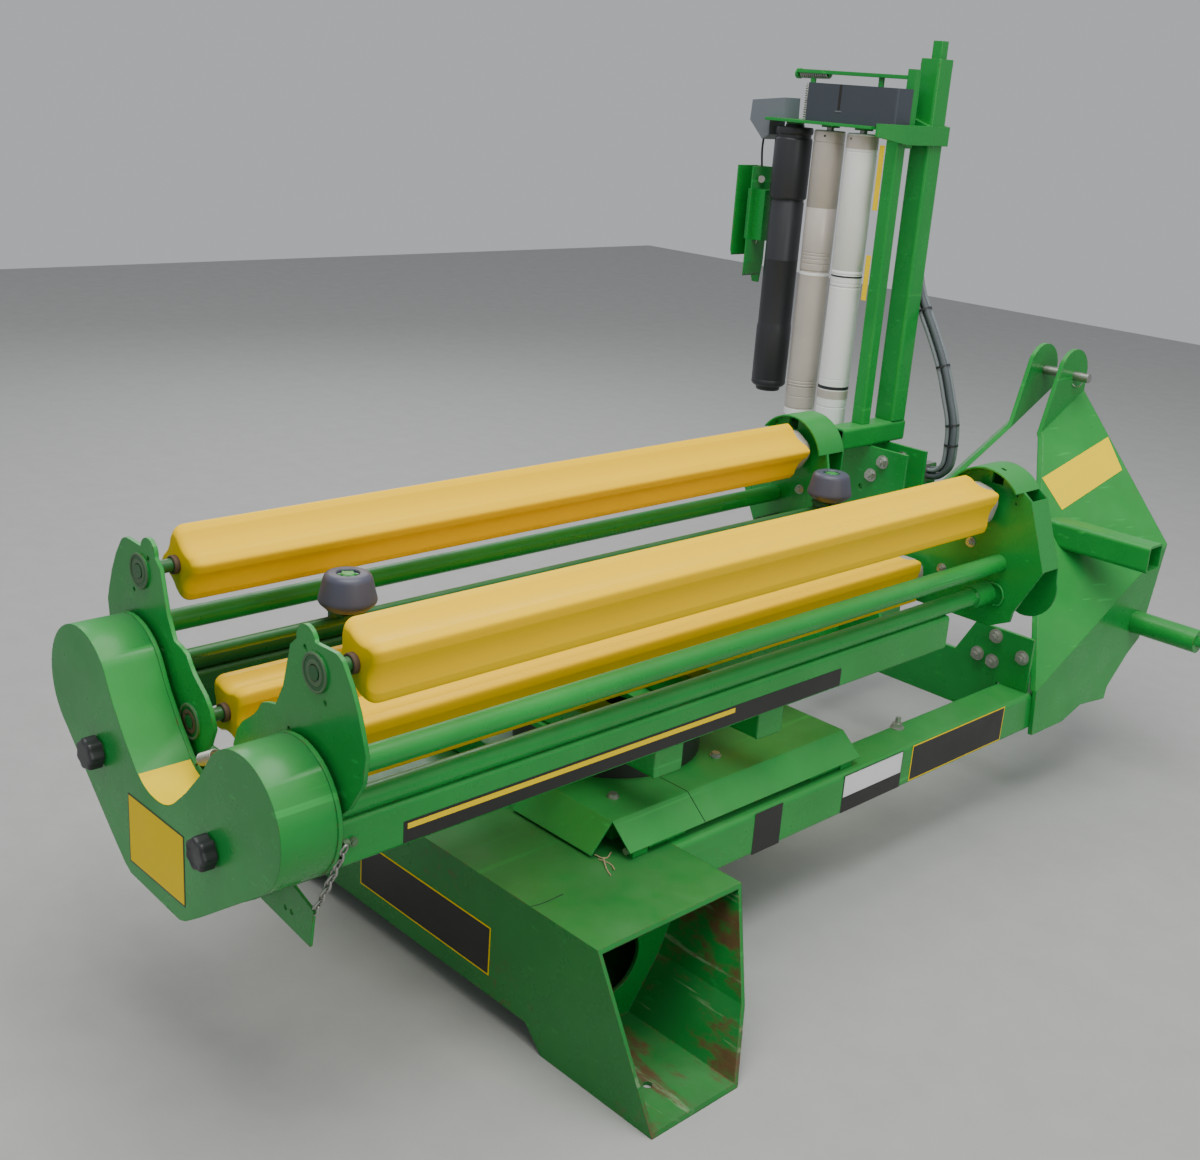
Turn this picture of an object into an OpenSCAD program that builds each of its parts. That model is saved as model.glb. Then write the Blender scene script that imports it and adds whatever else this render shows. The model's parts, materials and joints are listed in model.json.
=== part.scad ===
// Turntable bale wrapper for a tractor's three-point hitch.
// x is to the right seen from behind, y is forward to the tractor, z is up from the ground.
// Modules are drawn with the table's spin axis at x = y = 0; placed() moves them to the part's frame.

/* [Foot beam] */
// Height of the folded foot beam and of the top of the main beams
foot_h = 286; // [260:1:320]
// Depth of the foot beam's top plate, front to back
foot_top_d = 370; // [300:5:420]
// Depth of the foot's bottom plate
foot_base_d = 218; // [160:2:260]
// Distance of the foot beam's rear wall behind the spin axis
foot_back = 507; // [480:1:560]
// Length of the foot beam along its top
foot_top_l = 1034; // [960:2:1100]
// Length of the foot beam along the ground
foot_base_l = 1358; // [1280:2:1420]
// Sheet thickness of the foot beam
foot_t = 8; // [5:0.5:12]
// Height of the foot beam's middle above the ground
foot_arch = 46; // [20:1:80]
// Half length of the raised middle
foot_arch_half = 348; // [300:2:400]

/* [Main beams] */
// Side of the square main beams
beam_s = 100; // [80:1:120]
// Wall of the main beams
beam_t = 6; // [4:0.5:10]
// Distance between the main beams' centres
beam_gap = 604; // [560:2:660]
// Front end of the main beams, forward of the spin axis
beam_front = 1440; // [1380:5:1520]

/* [Headstock] */
// Thickness of the headstock plates
head_t = 12; // [8:1:16]
// Width between the top link ears
ear_gap = 80; // [60:1:100]
// Top link pin: distance forward of the spin axis
top_pin_y = 1660; // [1640:1:1680]
// Top link pin: height above the ground
top_pin_z = 999; // [980:1:1020]
// Diameter of the top link pin
top_pin_d = 25.4; // [19:0.1:32]
// Mast height: top link pin above the lower link pins
mast_h = 610; // [560:1:660]
// Diameter of the lower link bar
link_bar_d = 62; // [50:1:70]
// Length of the lower link bar between its shoulders
link_bar_l = 1090; // [1000:2:1150]
// Diameter of the lower link pins
link_pin_d = 28.4; // [25:0.1:40]
// Length of each lower link pin
link_pin_l = 100; // [70:1:120]

/* [Tilt frame] */
// Height of the tilt hinge above the ground
hinge_z = 299; // [298:0.5:303]
// Distance of the tilt hinge from the centre plane
hinge_x = 320; // [300:1:325]
// Diameter of the tilt hinge pin
hinge_d = 14; // [10:1:16]
// Outer diameter of the hinge tubes
hinge_tube_d = 23; // [18:0.5:23.5]
// Thickness of the tilt frame's cover sheet
cover_t = 3; // [2:0.5:3]

/* [Tilt cylinder] */
// Bore end pin of the cylinder, from the centre plane
cyl_base_x = 220; // [200:1:230]
// Bore end pin of the cylinder, above the ground
cyl_base_z = 170; // [160:1:180]
// Rod end pin of the cylinder, from the centre plane on the left
cyl_eye_x = 200; // [190:1:215]
// Rod end pin of the cylinder, above the ground
cyl_eye_z = 255; // [245:1:260]
// Place of the cylinder forward of the spin axis
cyl_y = 185; // [150:1:220]
// Outer diameter of the cylinder's barrel
barrel_d = 60; // [50:1:70]
// Diameter of the cylinder's rod
rod_d = 30; // [20:1:40]
// Diameter of the cylinder's pins
cyl_pin_d = 20; // [16:1:25]

/* [Table] */
// Height of the upper rollers' axes
roll_up_z = 810; // [790:1:830]
// Distance of the upper rollers' axes from the centre plane
roll_up_x = 277.5; // [265:0.5:290]
// Height of the lower rollers' axes
roll_low_z = 583.5; // [578:0.5:590]
// Distance of the lower rollers' axes from the centre plane
roll_low_x = 110; // [100:1:120]
// Width of a roller across its flats
roll_w = 103; // [90:1:106]
// Length of a roller's plastic body
roll_l = 1715; // [1600:5:1720]
// Rear end of the rollers' bodies behind the spin axis
roll_back = 845; // [835:1:860]
// Diameter of the rollers' shafts
shaft_d = 30; // [20:1:36]
// Rear bearing plates: distance behind the spin axis
plate_back = 910; // [900:1:920]
// Front bearing plates: distance forward of the spin axis
plate_front = 915; // [905:1:925]
// Thickness of the bearing plates
plate_t = 8; // [5:0.5:12]
// Rear guard's face: distance behind the spin axis
guard_back = 1030; // [1010:1:1045]
// Thickness of the guard's sheet
guard_t = 3; // [2:0.5:5]
// Distance of the side tubes from the centre plane
tube_x = 341; // [330:1:350]
// Height of the side tubes
tube_z = 657; // [645:1:665]
// Diameter of the side tubes
tube_d = 42; // [34:1:48]
// Wall of the round tubes
tube_t = 4; // [3:0.5:6]
// Height of the side rails' lower edge
rail_z = 500; // [490:1:510]
// Height of the side rails
rail_h = 80; // [70:1:90]
// Width of the side rails
rail_w = 40; // [30:1:50]

/* [Bale cones] */
// Widest diameter of a bale cone
cone_d = 110; // [100:1:118]
// Diameter of a bale cone at its top
cone_neck = 90; // [80:1:96]
// Height of a bale cone
cone_h = 70; // [60:1:72]
// Height of a cone's top
cone_top = 798; // [794:1:806]

/* [Film dispenser] */
// Side of the square mast
mast_s = 65; // [50:1:80]
// Wall of the square mast
mast_t = 5; // [3:0.5:8]
// Top of the mast
mast_top = 1785; // [1700:5:1850]
// Mast: distance left of the centre plane
mast_x = 360; // [350:1:370]
// Mast: distance forward of the spin axis
mast_y = 1415; // [1405:1:1425]
// Film rollers: distance forward of the spin axis
film_y = 1285; // [1275:1:1295]
// Diameter of the film rollers
film_d = 85; // [70:1:95]
// Top of the prestretch rollers
film_top = 1585; // [1575:1:1592]
// Bottom of the prestretch rollers
film_low = 792; // [786:1:800]
// Distance between the prestretch rollers' axes
film_pitch = 112; // [108:1:118]

/* [Hidden] */
$fn = 64;

green = "#1f7a2e";
yellow = "#f5b90a";
black = "#1c1c1f";
steel = "#9a9a96";
grey = "#6d6f73";

// Running gap, fit gap of a welded or bolted piece, gap of a shaft in its bearing
run_gap = 6;
seat_gap = 0.2;
shaft_gap = 0.05;
big = 3000;

// Places of the film dispenser's column, rollers and latch, counted to the left
column_s = 40;
column_x = mast_x + 5;
film_x_white = column_x + column_s / 2 + 45.5 + film_d / 2;
film_x_grey = film_x_white + film_pitch;
film_x_black = film_x_grey + film_pitch + 12;
black_d = film_d + 20;
latch_w = 60;
latch_gap = 48.5;

// Outermost faces of the machine, from which the middle of its box follows
knob_l = 30;
latch_out = film_x_black + black_d / 2 + latch_gap + latch_w;
machine_right = foot_base_l / 2;
fold_end = [1737, 592];
machine_front = fold_end[0];
shift_x = (latch_out - machine_right) / 2;
shift_y = (guard_back + knob_l - machine_front) / 2;

// The main sizes that follow from the values above
beam_x = beam_gap / 2;
beam_in = beam_x - beam_s / 2;
beam_out = beam_x + beam_s / 2;
beam_z = foot_h - beam_s / 2;
link_z = top_pin_z - mast_h;
link_y = top_pin_y - 32;
roll_front = roll_l - roll_back;
frame_low = foot_h + run_gap - 1;
frame_top = frame_low + 55;
ring_top = frame_top + 74;
arm_top = 820;
arm_s = 60;
film_plate_z = film_top + 14;
film_plate_t = 8;

// Turns a list of points into its reverse
function back(p) = [for (i = [len(p) - 1:-1:0]) p[i]];
// Mirrors a right-hand outline to the left and closes it over the centre plane
function both(p) = concat(p, back([for (q = p) [-q[0], q[1]]]));
// Unit vector and left-hand normal of a step
function unit(v) = v / norm(v);
function left(v) = [-v[1], v[0]];
// A closed outline, anticlockwise, moved inward by t with mitred corners
function inset(p, t) = [for (i = [0:len(p) - 1])
    let (u = unit(p[i] - p[(i + len(p) - 1) % len(p)]), v = unit(p[(i + 1) % len(p)] - p[i]))
    p[i] + t * (left(u) + left(v)) / (1 + u * v)];
// An open line moved to its left by t with mitred corners
function beside(p, t) = [for (i = [0:len(p) - 1])
    let (u = unit(i > 0 ? p[i] - p[i - 1] : p[1] - p[0]),
        v = unit(i < len(p) - 1 ? p[i + 1] - p[i] : p[i] - p[i - 1]))
    p[i] + t * (left(u) + left(v)) / (1 + u * v)];
// A folded sheet's section of thickness t on the left of a line
function folded(p, t) = concat(p, back(beside(p, t)));

// Points along an arc
function arc(c, r, a0, a1, n) = [for (i = [0:n]) let (a = a0 + (a1 - a0) * i / n) c + r * [cos(a), sin(a)]];

module placed() {
    translate([shift_x, shift_y, 0]) children();
}

// A profile in x and z, extruded from y0 to y1
module along_y(y0, y1) {
    translate([0, y1, 0]) rotate([90, 0, 0]) linear_extrude(y1 - y0) children();
}

// A profile in y and z, extruded from x0 to x1
module along_x(x0, x1) {
    translate([x0, 0, 0]) rotate([90, 0, 90]) linear_extrude(x1 - x0) children();
}

// A profile in x and y, extruded from z0 to z1
module along_z(z0, z1) {
    translate([0, 0, z0]) linear_extrude(z1 - z0) children();
}

module mirrored() {
    mirror([1, 0, 0]) children();
}

// A rectangle with round corners about the origin
module round_rect(w, h, r) {
    square([w - 2 * r, h], center = true);
    square([w, h - 2 * r], center = true);
    for (sx = [-1, 1], sy = [-1, 1]) translate([sx * (w / 2 - r), sy * (h / 2 - r)]) circle(r);
}

// Section of a rectangular tube with round corners
module box_tube(w, h, t) {
    difference() {
        round_rect(w, h, 2 * t);
        round_rect(w - 2 * t, h - 2 * t, t);
    }
}

// Section of a round tube
module pipe(d, t) {
    difference() {
        circle(d = d);
        circle(d = d - 2 * t);
    }
}

module disc_y(x, z, y0, y1, d) {
    along_y(y0, y1) translate([x, z]) circle(d = d);
}

module disc_x(y, z, x0, x1, d) {
    along_x(x0, x1) translate([y, z]) circle(d = d);
}

module disc_z(x, y, z0, z1, d) {
    along_z(z0, z1) translate([x, y]) circle(d = d);
}

// Foot beam: a folded box with open, slanting ends, raised in the middle
foot_knee = [-216, 107];
foot_side = [[-foot_back, 0], [foot_base_d - foot_back, 0], foot_knee,
    [foot_top_d - foot_back, foot_h], [-foot_back, foot_h]];
arch_drop = foot_arch;
window_d = 140;
diaphragm_x = 400;

function foot_front(base, top, arch) = [[-base, 0], [-foot_arch_half - arch_drop, 0], [-foot_arch_half, arch],
    [foot_arch_half, arch], [foot_arch_half + arch_drop, 0], [base, 0], [top, foot_h], [-top, foot_h]];

module foot_beam() {
    outer = foot_front(foot_base_l / 2, foot_top_l / 2, foot_arch);
    inner = inset(foot_front(big, big, foot_arch), foot_t);
    color(green) {
        difference() {
            intersection() {
                along_x(-big, big) polygon(foot_side);
                along_y(-big, big) polygon(outer);
            }
            intersection() {
                along_x(-big, big) polygon(inset(foot_side, foot_t));
                along_y(-big, big) polygon(inner);
            }
            for (sx = [-1, 1]) disc_z(sx * (foot_base_l / 2 - 100), foot_base_d / 2 - foot_back - 20, -1, foot_t + 1, 18);
        }
        for (sx = [-1, 1]) difference() {
            along_x(sx * diaphragm_x - foot_t / 2, sx * diaphragm_x + foot_t / 2)
                polygon(inset(foot_side, foot_t / 2));
            disc_x(-350, 140, sx * diaphragm_x - foot_t, sx * diaphragm_x + foot_t, window_d);
        }
    }
}

// Main beam: square tube cut to the foot beam's slanting front wall
module main_beam() {
    color(green) difference() {
        along_y(-foot_back + foot_top_d - beam_s, beam_front)
            translate([beam_x, beam_z]) box_tube(beam_s, beam_s, beam_t);
        along_x(-big, big) polygon(foot_side);
    }
}

// Headstock: one folded plate on each side, its folds parallel to fold_a
fold_low = [1155, 300];
ear_right = [1725, 940];
fold_a = atan2(fold_end[1] - fold_low[1], fold_end[0] - fold_low[0]);
function fold_w(p) = -p[0] * sin(fold_a) + p[1] * cos(fold_a);
ear_left_z = 840;
// The leaning panel is flat: its fourth corner lies on the plane of the other three
fold_dir = [cos(fold_a), sin(fold_a)];
ear_left = ear_right + fold_dir * (ear_left_z - ear_right[1]) / fold_dir[1];
ear_r = 73;
// How far each fold lies beyond the corners of the outline
fold_inset = 7;
head_side = [[1170, 174], [1319, 174], [1405, 200], [1535, 185], [1540, 219], [1623, 296], [1678, 331],
    fold_end, ear_right, each arc([top_pin_y - 8, top_pin_z], ear_r, 0, 150, 10), ear_left, fold_low];
head_line = [[beam_out + seat_gap, -big], [beam_out + seat_gap, fold_w(fold_low) - fold_inset],
    [ear_gap / 2, fold_w(ear_right) + fold_inset], [ear_gap / 2, big]];

// Prism whose section across the folds is p
module along_fold(p) {
    rotate([90 + fold_a, 0, 0]) linear_extrude(2 * big, center = true) polygon(p);
}

module head_outline() {
    difference() {
        polygon(head_side);
        translate([top_pin_y, top_pin_z]) circle(d = top_pin_d + 2 * shaft_gap);
        translate([link_y, link_z]) circle(d = link_bar_d + 2 * seat_gap);
    }
}

module head_plate() {
    color(green) intersection() {
        along_x(-1, big) head_outline();
        along_fold(back(folded(head_line, -head_t)));
    }
}

// Everything on the inner side of a headstock plate's outer face
module head_inside() {
    line = beside(head_line, -head_t);
    along_fold(concat([[-big, -big]], line, [[-big, big]]));
}

cross_y = 1160;
cross_t = 10;
cross_outline = both([[120, 336], [170, 428], [337, 428], [337, foot_h + seat_gap], [beam_in - seat_gap, foot_h + seat_gap],
    [beam_in - seat_gap, foot_h - beam_s + 4]]);

module cross_plate() {
    color(green) difference() {
        along_y(cross_y - cross_t, cross_y) polygon(cross_outline);
        for (sx = [-1, 1], p = [[232, 407], [187, 345], [232, 338], [313, 374]])
            disc_y(sx * p[0], p[1], cross_y - cross_t - 1, cross_y + 1, 13);
    }
}

pin_out = 95;
module top_pin() {
    color(steel) difference() {
        union() {
            disc_x(top_pin_y, top_pin_z, -ear_gap / 2 - head_t - 20, pin_out, top_pin_d);
            disc_x(top_pin_y, top_pin_z, -ear_gap / 2 - head_t - 26, -ear_gap / 2 - head_t - seat_gap, 44);
        }
        disc_z(pin_out - 14, top_pin_y, top_pin_z - 50, top_pin_z + 50, 11);
    }
}

module lower_link_bar() {
    color(green) difference() {
        union() {
            disc_x(link_y, link_z, -link_bar_l / 2, link_bar_l / 2, link_bar_d);
            disc_x(link_y, link_z, -link_bar_l / 2 - link_pin_l, link_bar_l / 2 + link_pin_l, link_pin_d);
        }
        for (sx = [-1, 1])
            disc_z(sx * (link_bar_l / 2 + link_pin_l - 16), link_y, link_z - 60, link_z + 60, 12);
    }
}

bracket_y = [1415, 1485];
bracket_z = [591, 663];
bracket_x = 465;
bracket_t = 6;
module side_bracket() {
    color(green) difference() {
        along_x(100, bracket_x) translate([(bracket_y[0] + bracket_y[1]) / 2, (bracket_z[0] + bracket_z[1]) / 2])
            box_tube(bracket_y[1] - bracket_y[0], bracket_z[1] - bracket_z[0], bracket_t);
        head_inside();
    }
}

// Tilt hinge: two fixed knuckles on the right beam and two moving tubes between them
knuckle_y = [[-240, -200], [400, 440]];
hinge_tube_y = [[-195, -95], [295, 395]];
module hinge_knuckles() {
    color(green) for (k = knuckle_y) difference() {
        union() {
            disc_y(hinge_x, hinge_z, k[0], k[1], hinge_tube_d);
            along_y(k[0], k[1]) translate([hinge_x - hinge_tube_d / 2, foot_h]) square([hinge_tube_d, hinge_z - foot_h]);
        }
        disc_y(hinge_x, hinge_z, k[0] - 1, k[1] + 1, hinge_d + 2 * shaft_gap);
        if (k[0] < foot_top_d - foot_back) along_x(-big, big) polygon(foot_side);
    }
}

module hinge_pin() {
    color(steel) disc_y(hinge_x, hinge_z, knuckle_y[0][0] - 10, knuckle_y[1][1] + 10, hinge_d);
}

pad_y = [60, 140];
module rest_pad() {
    color(black) along_z(foot_h, frame_low - 0.3) translate([-beam_x - 25, pad_y[0]]) square([50, pad_y[1] - pad_y[0]]);
}

// Tilt frame: sheet box under the table with a hinge tube on its right
frame_x = [-330, 262];
frame_y = [-230, 380];
frame_t = 8;
lug_t = 30;
lug_w = 70;
strap_t = 14;
module tilt_frame() {
    color(green) {
        difference() {
            along_z(frame_low, frame_top) translate([frame_x[0], frame_y[0]])
                square([frame_x[1] - frame_x[0], frame_y[1] - frame_y[0]]);
            along_z(frame_low - 1, frame_top - frame_t) translate([frame_x[0] + frame_t, frame_y[0] + frame_t])
                square([frame_x[1] - frame_x[0] - 2 * frame_t, frame_y[1] - frame_y[0] - 2 * frame_t]);
        }
        for (k = hinge_tube_y) difference() {
            union() {
                disc_y(hinge_x, hinge_z, k[0], k[1], hinge_tube_d);
                along_y(k[0], k[1]) translate([frame_x[1] - 2, hinge_z - 5])
                    square([hinge_x - frame_x[1], strap_t]);
            }
            disc_y(hinge_x, hinge_z, k[0] - 1, k[1] + 1, hinge_d + 2 * shaft_gap);
        }
        difference() {
            along_y(cyl_y - lug_t / 2, cyl_y + lug_t / 2) {
                translate([-cyl_eye_x, cyl_eye_z]) circle(d = lug_w);
                translate([-cyl_eye_x - lug_w / 2, cyl_eye_z]) square([lug_w, frame_top - frame_t / 2 - cyl_eye_z]);
            }
            disc_y(-cyl_eye_x, cyl_eye_z, cyl_y - lug_t, cyl_y + lug_t, 2 * cyl_pin_d);
        }
    }
}

// Cover: folded roof over the tilt frame's right side, with a flap sloping down at the rear
cover_y = [-254, 460];
cover_x = [54, 284];
cover_top = frame_top + seat_gap + cover_t;
cover_edge = [hinge_x + 18.3, hinge_z + 5];
flap_end = [-305, foot_h + run_gap];
module tilt_cover() {
    color(green) difference() {
        union() {
            along_y(cover_y[0], cover_y[1])
                polygon(back(folded([cover_edge, [cover_x[1], cover_top], [cover_x[1] - 100, cover_top]], cover_t)));
            along_x(cover_x[0], cover_x[1])
                polygon(folded([[cover_y[1], cover_top], [cover_y[0], cover_top], flap_end], cover_t));
        }
        disc_z(0, 0, frame_top - 60, ring_top, ring_d + 2 * seat_gap);
    }
}

ring_d = 400;
module slew_ring() {
    color(black) difference() {
        disc_z(0, 0, frame_top, ring_top, ring_d);
        disc_z(0, 0, frame_top - 1, ring_top + 1, ring_d - 120);
    }
}

// Tilt cylinder between the right beam and the lug under the tilt frame
cyl_dx = -cyl_eye_x - cyl_base_x;
cyl_dz = cyl_eye_z - cyl_base_z;
cyl_l = norm([cyl_dx, cyl_dz]);
cyl_a = atan2(cyl_dz, cyl_dx);
barrel_l = 290;
fork_w = 12;
fork_gap = lug_t + 2;

// Clevis and pin on the right beam's inner side, which carry the cylinder's bore end
clevis_y = 36;
clevis_t = 10;
module cylinder_clevis() {
    color(green) for (sy = [-1, 1]) along_y(cyl_y + sy * clevis_y - clevis_t / 2, cyl_y + sy * clevis_y + clevis_t / 2) {
        translate([cyl_base_x, cyl_base_z]) circle(d = 48);
        polygon([[cyl_base_x - 10, cyl_base_z + 20], [cyl_base_x + 12, cyl_base_z - 20], [beam_in - seat_gap, beam_z - 30],
            [beam_in - seat_gap, beam_z + 40]]);
    }
    color(steel) disc_y(cyl_base_x, cyl_base_z, cyl_y - clevis_y - clevis_t, cyl_y + clevis_y + clevis_t, cyl_pin_d);
}

// Draws its children along the cylinder: u along it from the bore end pin, y as it is
module along_cylinder() {
    translate([cyl_base_x, cyl_y, cyl_base_z]) rotate([0, -cyl_a, 0]) children();
}

module cylinder_barrel() {
    color(green) along_cylinder() difference() {
        union() {
            rotate([90, 0, 0]) cylinder(h = 56, d = 44, center = true);
            translate([0, -14, -14]) cube([40, 28, 28]);
            rotate([0, 90, 0]) translate([0, 0, 34]) cylinder(h = barrel_l - 34, d = barrel_d);
        }
        rotate([0, 90, 0]) translate([0, 0, 50]) cylinder(h = barrel_l, d = rod_d + 2 * shaft_gap);
        rotate([90, 0, 0]) cylinder(h = 100, d = cyl_pin_d + 2 * shaft_gap, center = true);
    }
}

module cylinder_rod() {
    color(steel) along_cylinder() {
        rotate([0, 90, 0]) translate([0, 0, 60]) cylinder(h = cyl_l - 46 - 60, d = rod_d);
        translate([cyl_l - 60, -fork_gap / 2 - fork_w, -18]) cube([14, fork_gap + 2 * fork_w, 36]);
        for (sy = [-1, 1]) translate([0, sy * (fork_gap + fork_w) / 2, 0]) {
            translate([cyl_l - 60, -fork_w / 2, -18]) cube([60, fork_w, 36]);
            translate([cyl_l, 0, 0]) rotate([90, 0, 0]) cylinder(h = fork_w, d = 44, center = true);
        }
        translate([cyl_l, 0, 0]) rotate([90, 0, 0]) cylinder(h = fork_gap + 2 * fork_w + 8, d = cyl_pin_d, center = true);
    }
}

// Table hub: turntable plate, cross members and the pedestal under the rails
hub_t = 12;
cross_at = 150;
cross_h = rail_z - ring_top - hub_t - seat_gap;
module table_hub() {
    color(green) {
        difference() {
            disc_z(0, 0, ring_top, ring_top + hub_t, ring_d);
            disc_z(0, 0, ring_top - 1, ring_top + hub_t + 1, 120);
        }
        for (y = [-cross_at, cross_at]) along_x(-tube_x, tube_x)
            translate([y, ring_top + hub_t + cross_h / 2]) box_tube(80, cross_h, 5);
    }
}

// Side rail: rectangular tube with a round tube along its top and a lug at its front end
rail_front = 735;
cap_d = 40;
socket_l = 70;
socket_t = 8;
module side_rail() {
    y0 = -plate_back + plate_t / 2 + seat_gap;
    y1 = plate_front - plate_t / 2 - seat_gap;
    color(green) translate([tube_x - rail_w / 2, 0, rail_z]) {
        along_y(y0, rail_front) translate([0, rail_h / 2]) box_tube(rail_w, rail_h, tube_t);
        translate([0, 0, rail_h + cap_d / 2 - 1]) {
            along_y(y0, y1) pipe(cap_d, tube_t);
            along_y(y1 - socket_l, y1) pipe(cap_d + 2 * socket_t - 2, socket_t);
        }
    }
}

module side_tube() {
    color(green) along_y(-plate_back + plate_t / 2 + seat_gap, plate_front - plate_t / 2 - seat_gap)
        translate([tube_x, tube_z + 20]) pipe(tube_d, tube_t);
}

// Rear bearing plate, right-hand one, with an ear beside a round shoulder; the left one is its mirror image
rear_ear = arc([249, 852], 26, 190, 10, 12);
rear_shoulder = arc([324, 826], 32, 90, 45, 5);
rear_outline = concat([[206, 833]], rear_ear, rear_shoulder, [[369, 818], [388, 781], [401, 745], [409, 720],
    [403, 672], [368, 617], [300, 560], [200, 520], [80, 527], [48, 560], [32, 595], [44, 627], [62, 648],
    [98, 674], [111, 688], [121, 703], [139, 710], [163, 715], [185, 755]]);
rear_holes = [[247, 841], [303, 768], [203, 688]];
bearing_t = 8;
bearing_d = 76;
module rear_plate() {
    color(green) difference() {
        union() {
            along_y(-plate_back - plate_t / 2, -plate_back + plate_t / 2) polygon(back(rear_outline));
            for (p = [[roll_up_x, roll_up_z], [roll_low_x, roll_low_z]])
                disc_y(p[0], p[1], -plate_back - plate_t / 2 - bearing_t, -plate_back, bearing_d);
        }
        for (p = [[roll_up_x, roll_up_z], [roll_low_x, roll_low_z]])
            disc_y(p[0], p[1], -plate_back - 100, -plate_back + 100, shaft_d + 2 * shaft_gap);
        for (p = rear_holes) disc_y(p[0], p[1], -plate_back - plate_t, -plate_back + plate_t, 9);
    }
}

// Front bearing plate with its hood, right-hand one: an arch over the roller's end, a straight strip down the
// side and a cover in front that is rounded below
hood_at = [roll_up_x + 12.5, roll_up_z - 17];
hood_r = 105;
hood_t = 4;
hood_back = 30;
hood_l = 70;
hood_arch = arc(hood_at, hood_r, 36, 168, 20);
hood_strip = [[455, 684], [398, 838]];
module front_plate() {
    y0 = plate_front - plate_t / 2;
    color(green) difference() {
        union() {
            along_y(y0, y0 + plate_t) polygon(concat([[60, 520], [340, 520], [392, 545], [396, 569]], hood_strip,
                hood_arch, [[150, 660], [60, 640]]));
            along_y(y0 - hood_back, y0 + hood_l)
                polygon(concat(hood_arch, back(arc(hood_at, hood_r - hood_t, 36, 168, 20))));
            along_y(y0, y0 + hood_l) polygon(folded(hood_strip, hood_t));
            along_y(y0 + hood_l - hood_t, y0 + hood_l) polygon(concat(arc([385, 625], 77, -95, 20, 10), hood_strip,
                hood_arch, [[190, 700], [240, 600]]));
        }
        for (p = [[roll_up_x, roll_up_z], [roll_low_x, roll_low_z]])
            disc_y(p[0], p[1], y0 - hood_back, y0 + hood_back, shaft_d + 2 * shaft_gap);
        for (dz = [14, 34, 54]) disc_y(roll_up_x + 82, roll_up_z + dz, y0 - 1, y0 + plate_t + 1, 6);
        along_y(y0 - 1, y0 + plate_t + 1) translate([roll_up_x + 12, roll_up_z + 48]) square([30, 38]);
    }
}

// Cross members at the table's ends: the rear one takes the studs of the guard's knobs
module table_ends() {
    color(green) {
        along_x(-60 + seat_gap, 60 - seat_gap) translate([plate_front, 560]) box_tube(plate_t * 5, 70, 5);
        along_x(-tube_x + rail_w + seat_gap, tube_x - rail_w - seat_gap)
            translate([-plate_back + plate_t / 2 + seat_gap + 20, (knobs[0][1] + knobs[1][1]) / 2]) box_tube(40, 44, 4);
    }
}

// Rear chain guard: a deep cover with two lobes and a notch between them, which hangs a little askew on its
// knobs, and a bead round its open edge
guard_at = [-17.5, 596];
guard_turn = 3.3;
guard_depth = guard_back - plate_back - plate_t / 2 - bearing_t - 1;
bead = [8, 2.5];
guard_outline = both(concat([[85, -280], [106, -271], [155, -235], [330, -97]], arc([268, 0], 115, -52, 142, 24),
    [[146, 22], [103, -29], [62, -70], [40, -84], [15, -91]]));
module guard_profile(r) {
    translate(guard_at) rotate(-guard_turn) polygon(inset(guard_outline, r));
}

module rear_guard() {
    y1 = -guard_back + guard_depth;
    color(green) difference() {
        union() {
            along_y(-guard_back, y1) guard_profile(0);
            along_y(y1 - bead[0], y1) guard_profile(-bead[1]);
        }
        along_y(-guard_back + guard_t, y1 + 1) guard_profile(guard_t);
        for (p = knobs) disc_y(p[0], p[1], -guard_back - 1, -guard_back + guard_t + 1, 14);
    }
}

knobs = [[158, 492], [-224, 514]];
knob_d = 60;
stud_d = 12;
module guard_knobs() {
    color(black) for (p = knobs) {
        difference() {
            disc_y(p[0], p[1], -guard_back - knob_l, -guard_back - seat_gap, knob_d);
            for (a = [0:60:300])
                disc_y(p[0] + 36 * cos(a), p[1] + 36 * sin(a), -guard_back - knob_l - 1, -guard_back, 18);
        }
        disc_y(p[0], p[1], -guard_back - 1, -plate_back + plate_t / 2, stud_d);
    }
}

// Bar along the table, with a web, a small shelf and a pin for each bale cone
bar_x = 135;
bar_z = 697;
bar_d = 20;
web_t = 12;
cone_shelf = [45, 6];
cone_pin_d = 20;
cone_at = [[-110, -592], [-110, 836]];
module cone_bar() {
    shelf_top = cone_top - cone_h - run_gap;
    color(green) {
        disc_y(-bar_x, bar_z, -plate_back + plate_t / 2 + seat_gap, plate_front - plate_t / 2 - seat_gap, bar_d);
        for (p = cone_at) {
            along_y(p[1] - cone_shelf[0] / 2, p[1] + cone_shelf[0] / 2) {
                translate([-bar_x - bar_d / 2, shelf_top - cone_shelf[1]])
                    square([p[0] + bar_x + (bar_d + cone_shelf[0]) / 2, cone_shelf[1]]);
                translate([-bar_x - web_t / 2, bar_z]) square([web_t, shelf_top - 1 - bar_z]);
            }
            disc_z(p[0], p[1], shelf_top - 1, cone_top - cone_h / 2, cone_pin_d);
        }
    }
}

// Bale cone: belly near the foot, slanting side and a chamfered top
cone_foot = 84;
cone_belly = [16, 23];
cone_edge = 7;
module bale_cone(p) {
    color(grey) translate([p[0], p[1], cone_top - cone_h]) difference() {
        rotate_extrude() polygon([[0, 0], [cone_foot / 2, 0], [cone_d / 2, cone_belly[0]], [cone_d / 2, cone_belly[1]],
            [cone_neck / 2, cone_h - cone_edge], [cone_neck / 2 - cone_edge, cone_h], [0, cone_h]]);
        translate([0, 0, -1]) cylinder(h = cone_h / 2 + 4, d = cone_pin_d + 2 * shaft_gap);
    }
}

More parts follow.
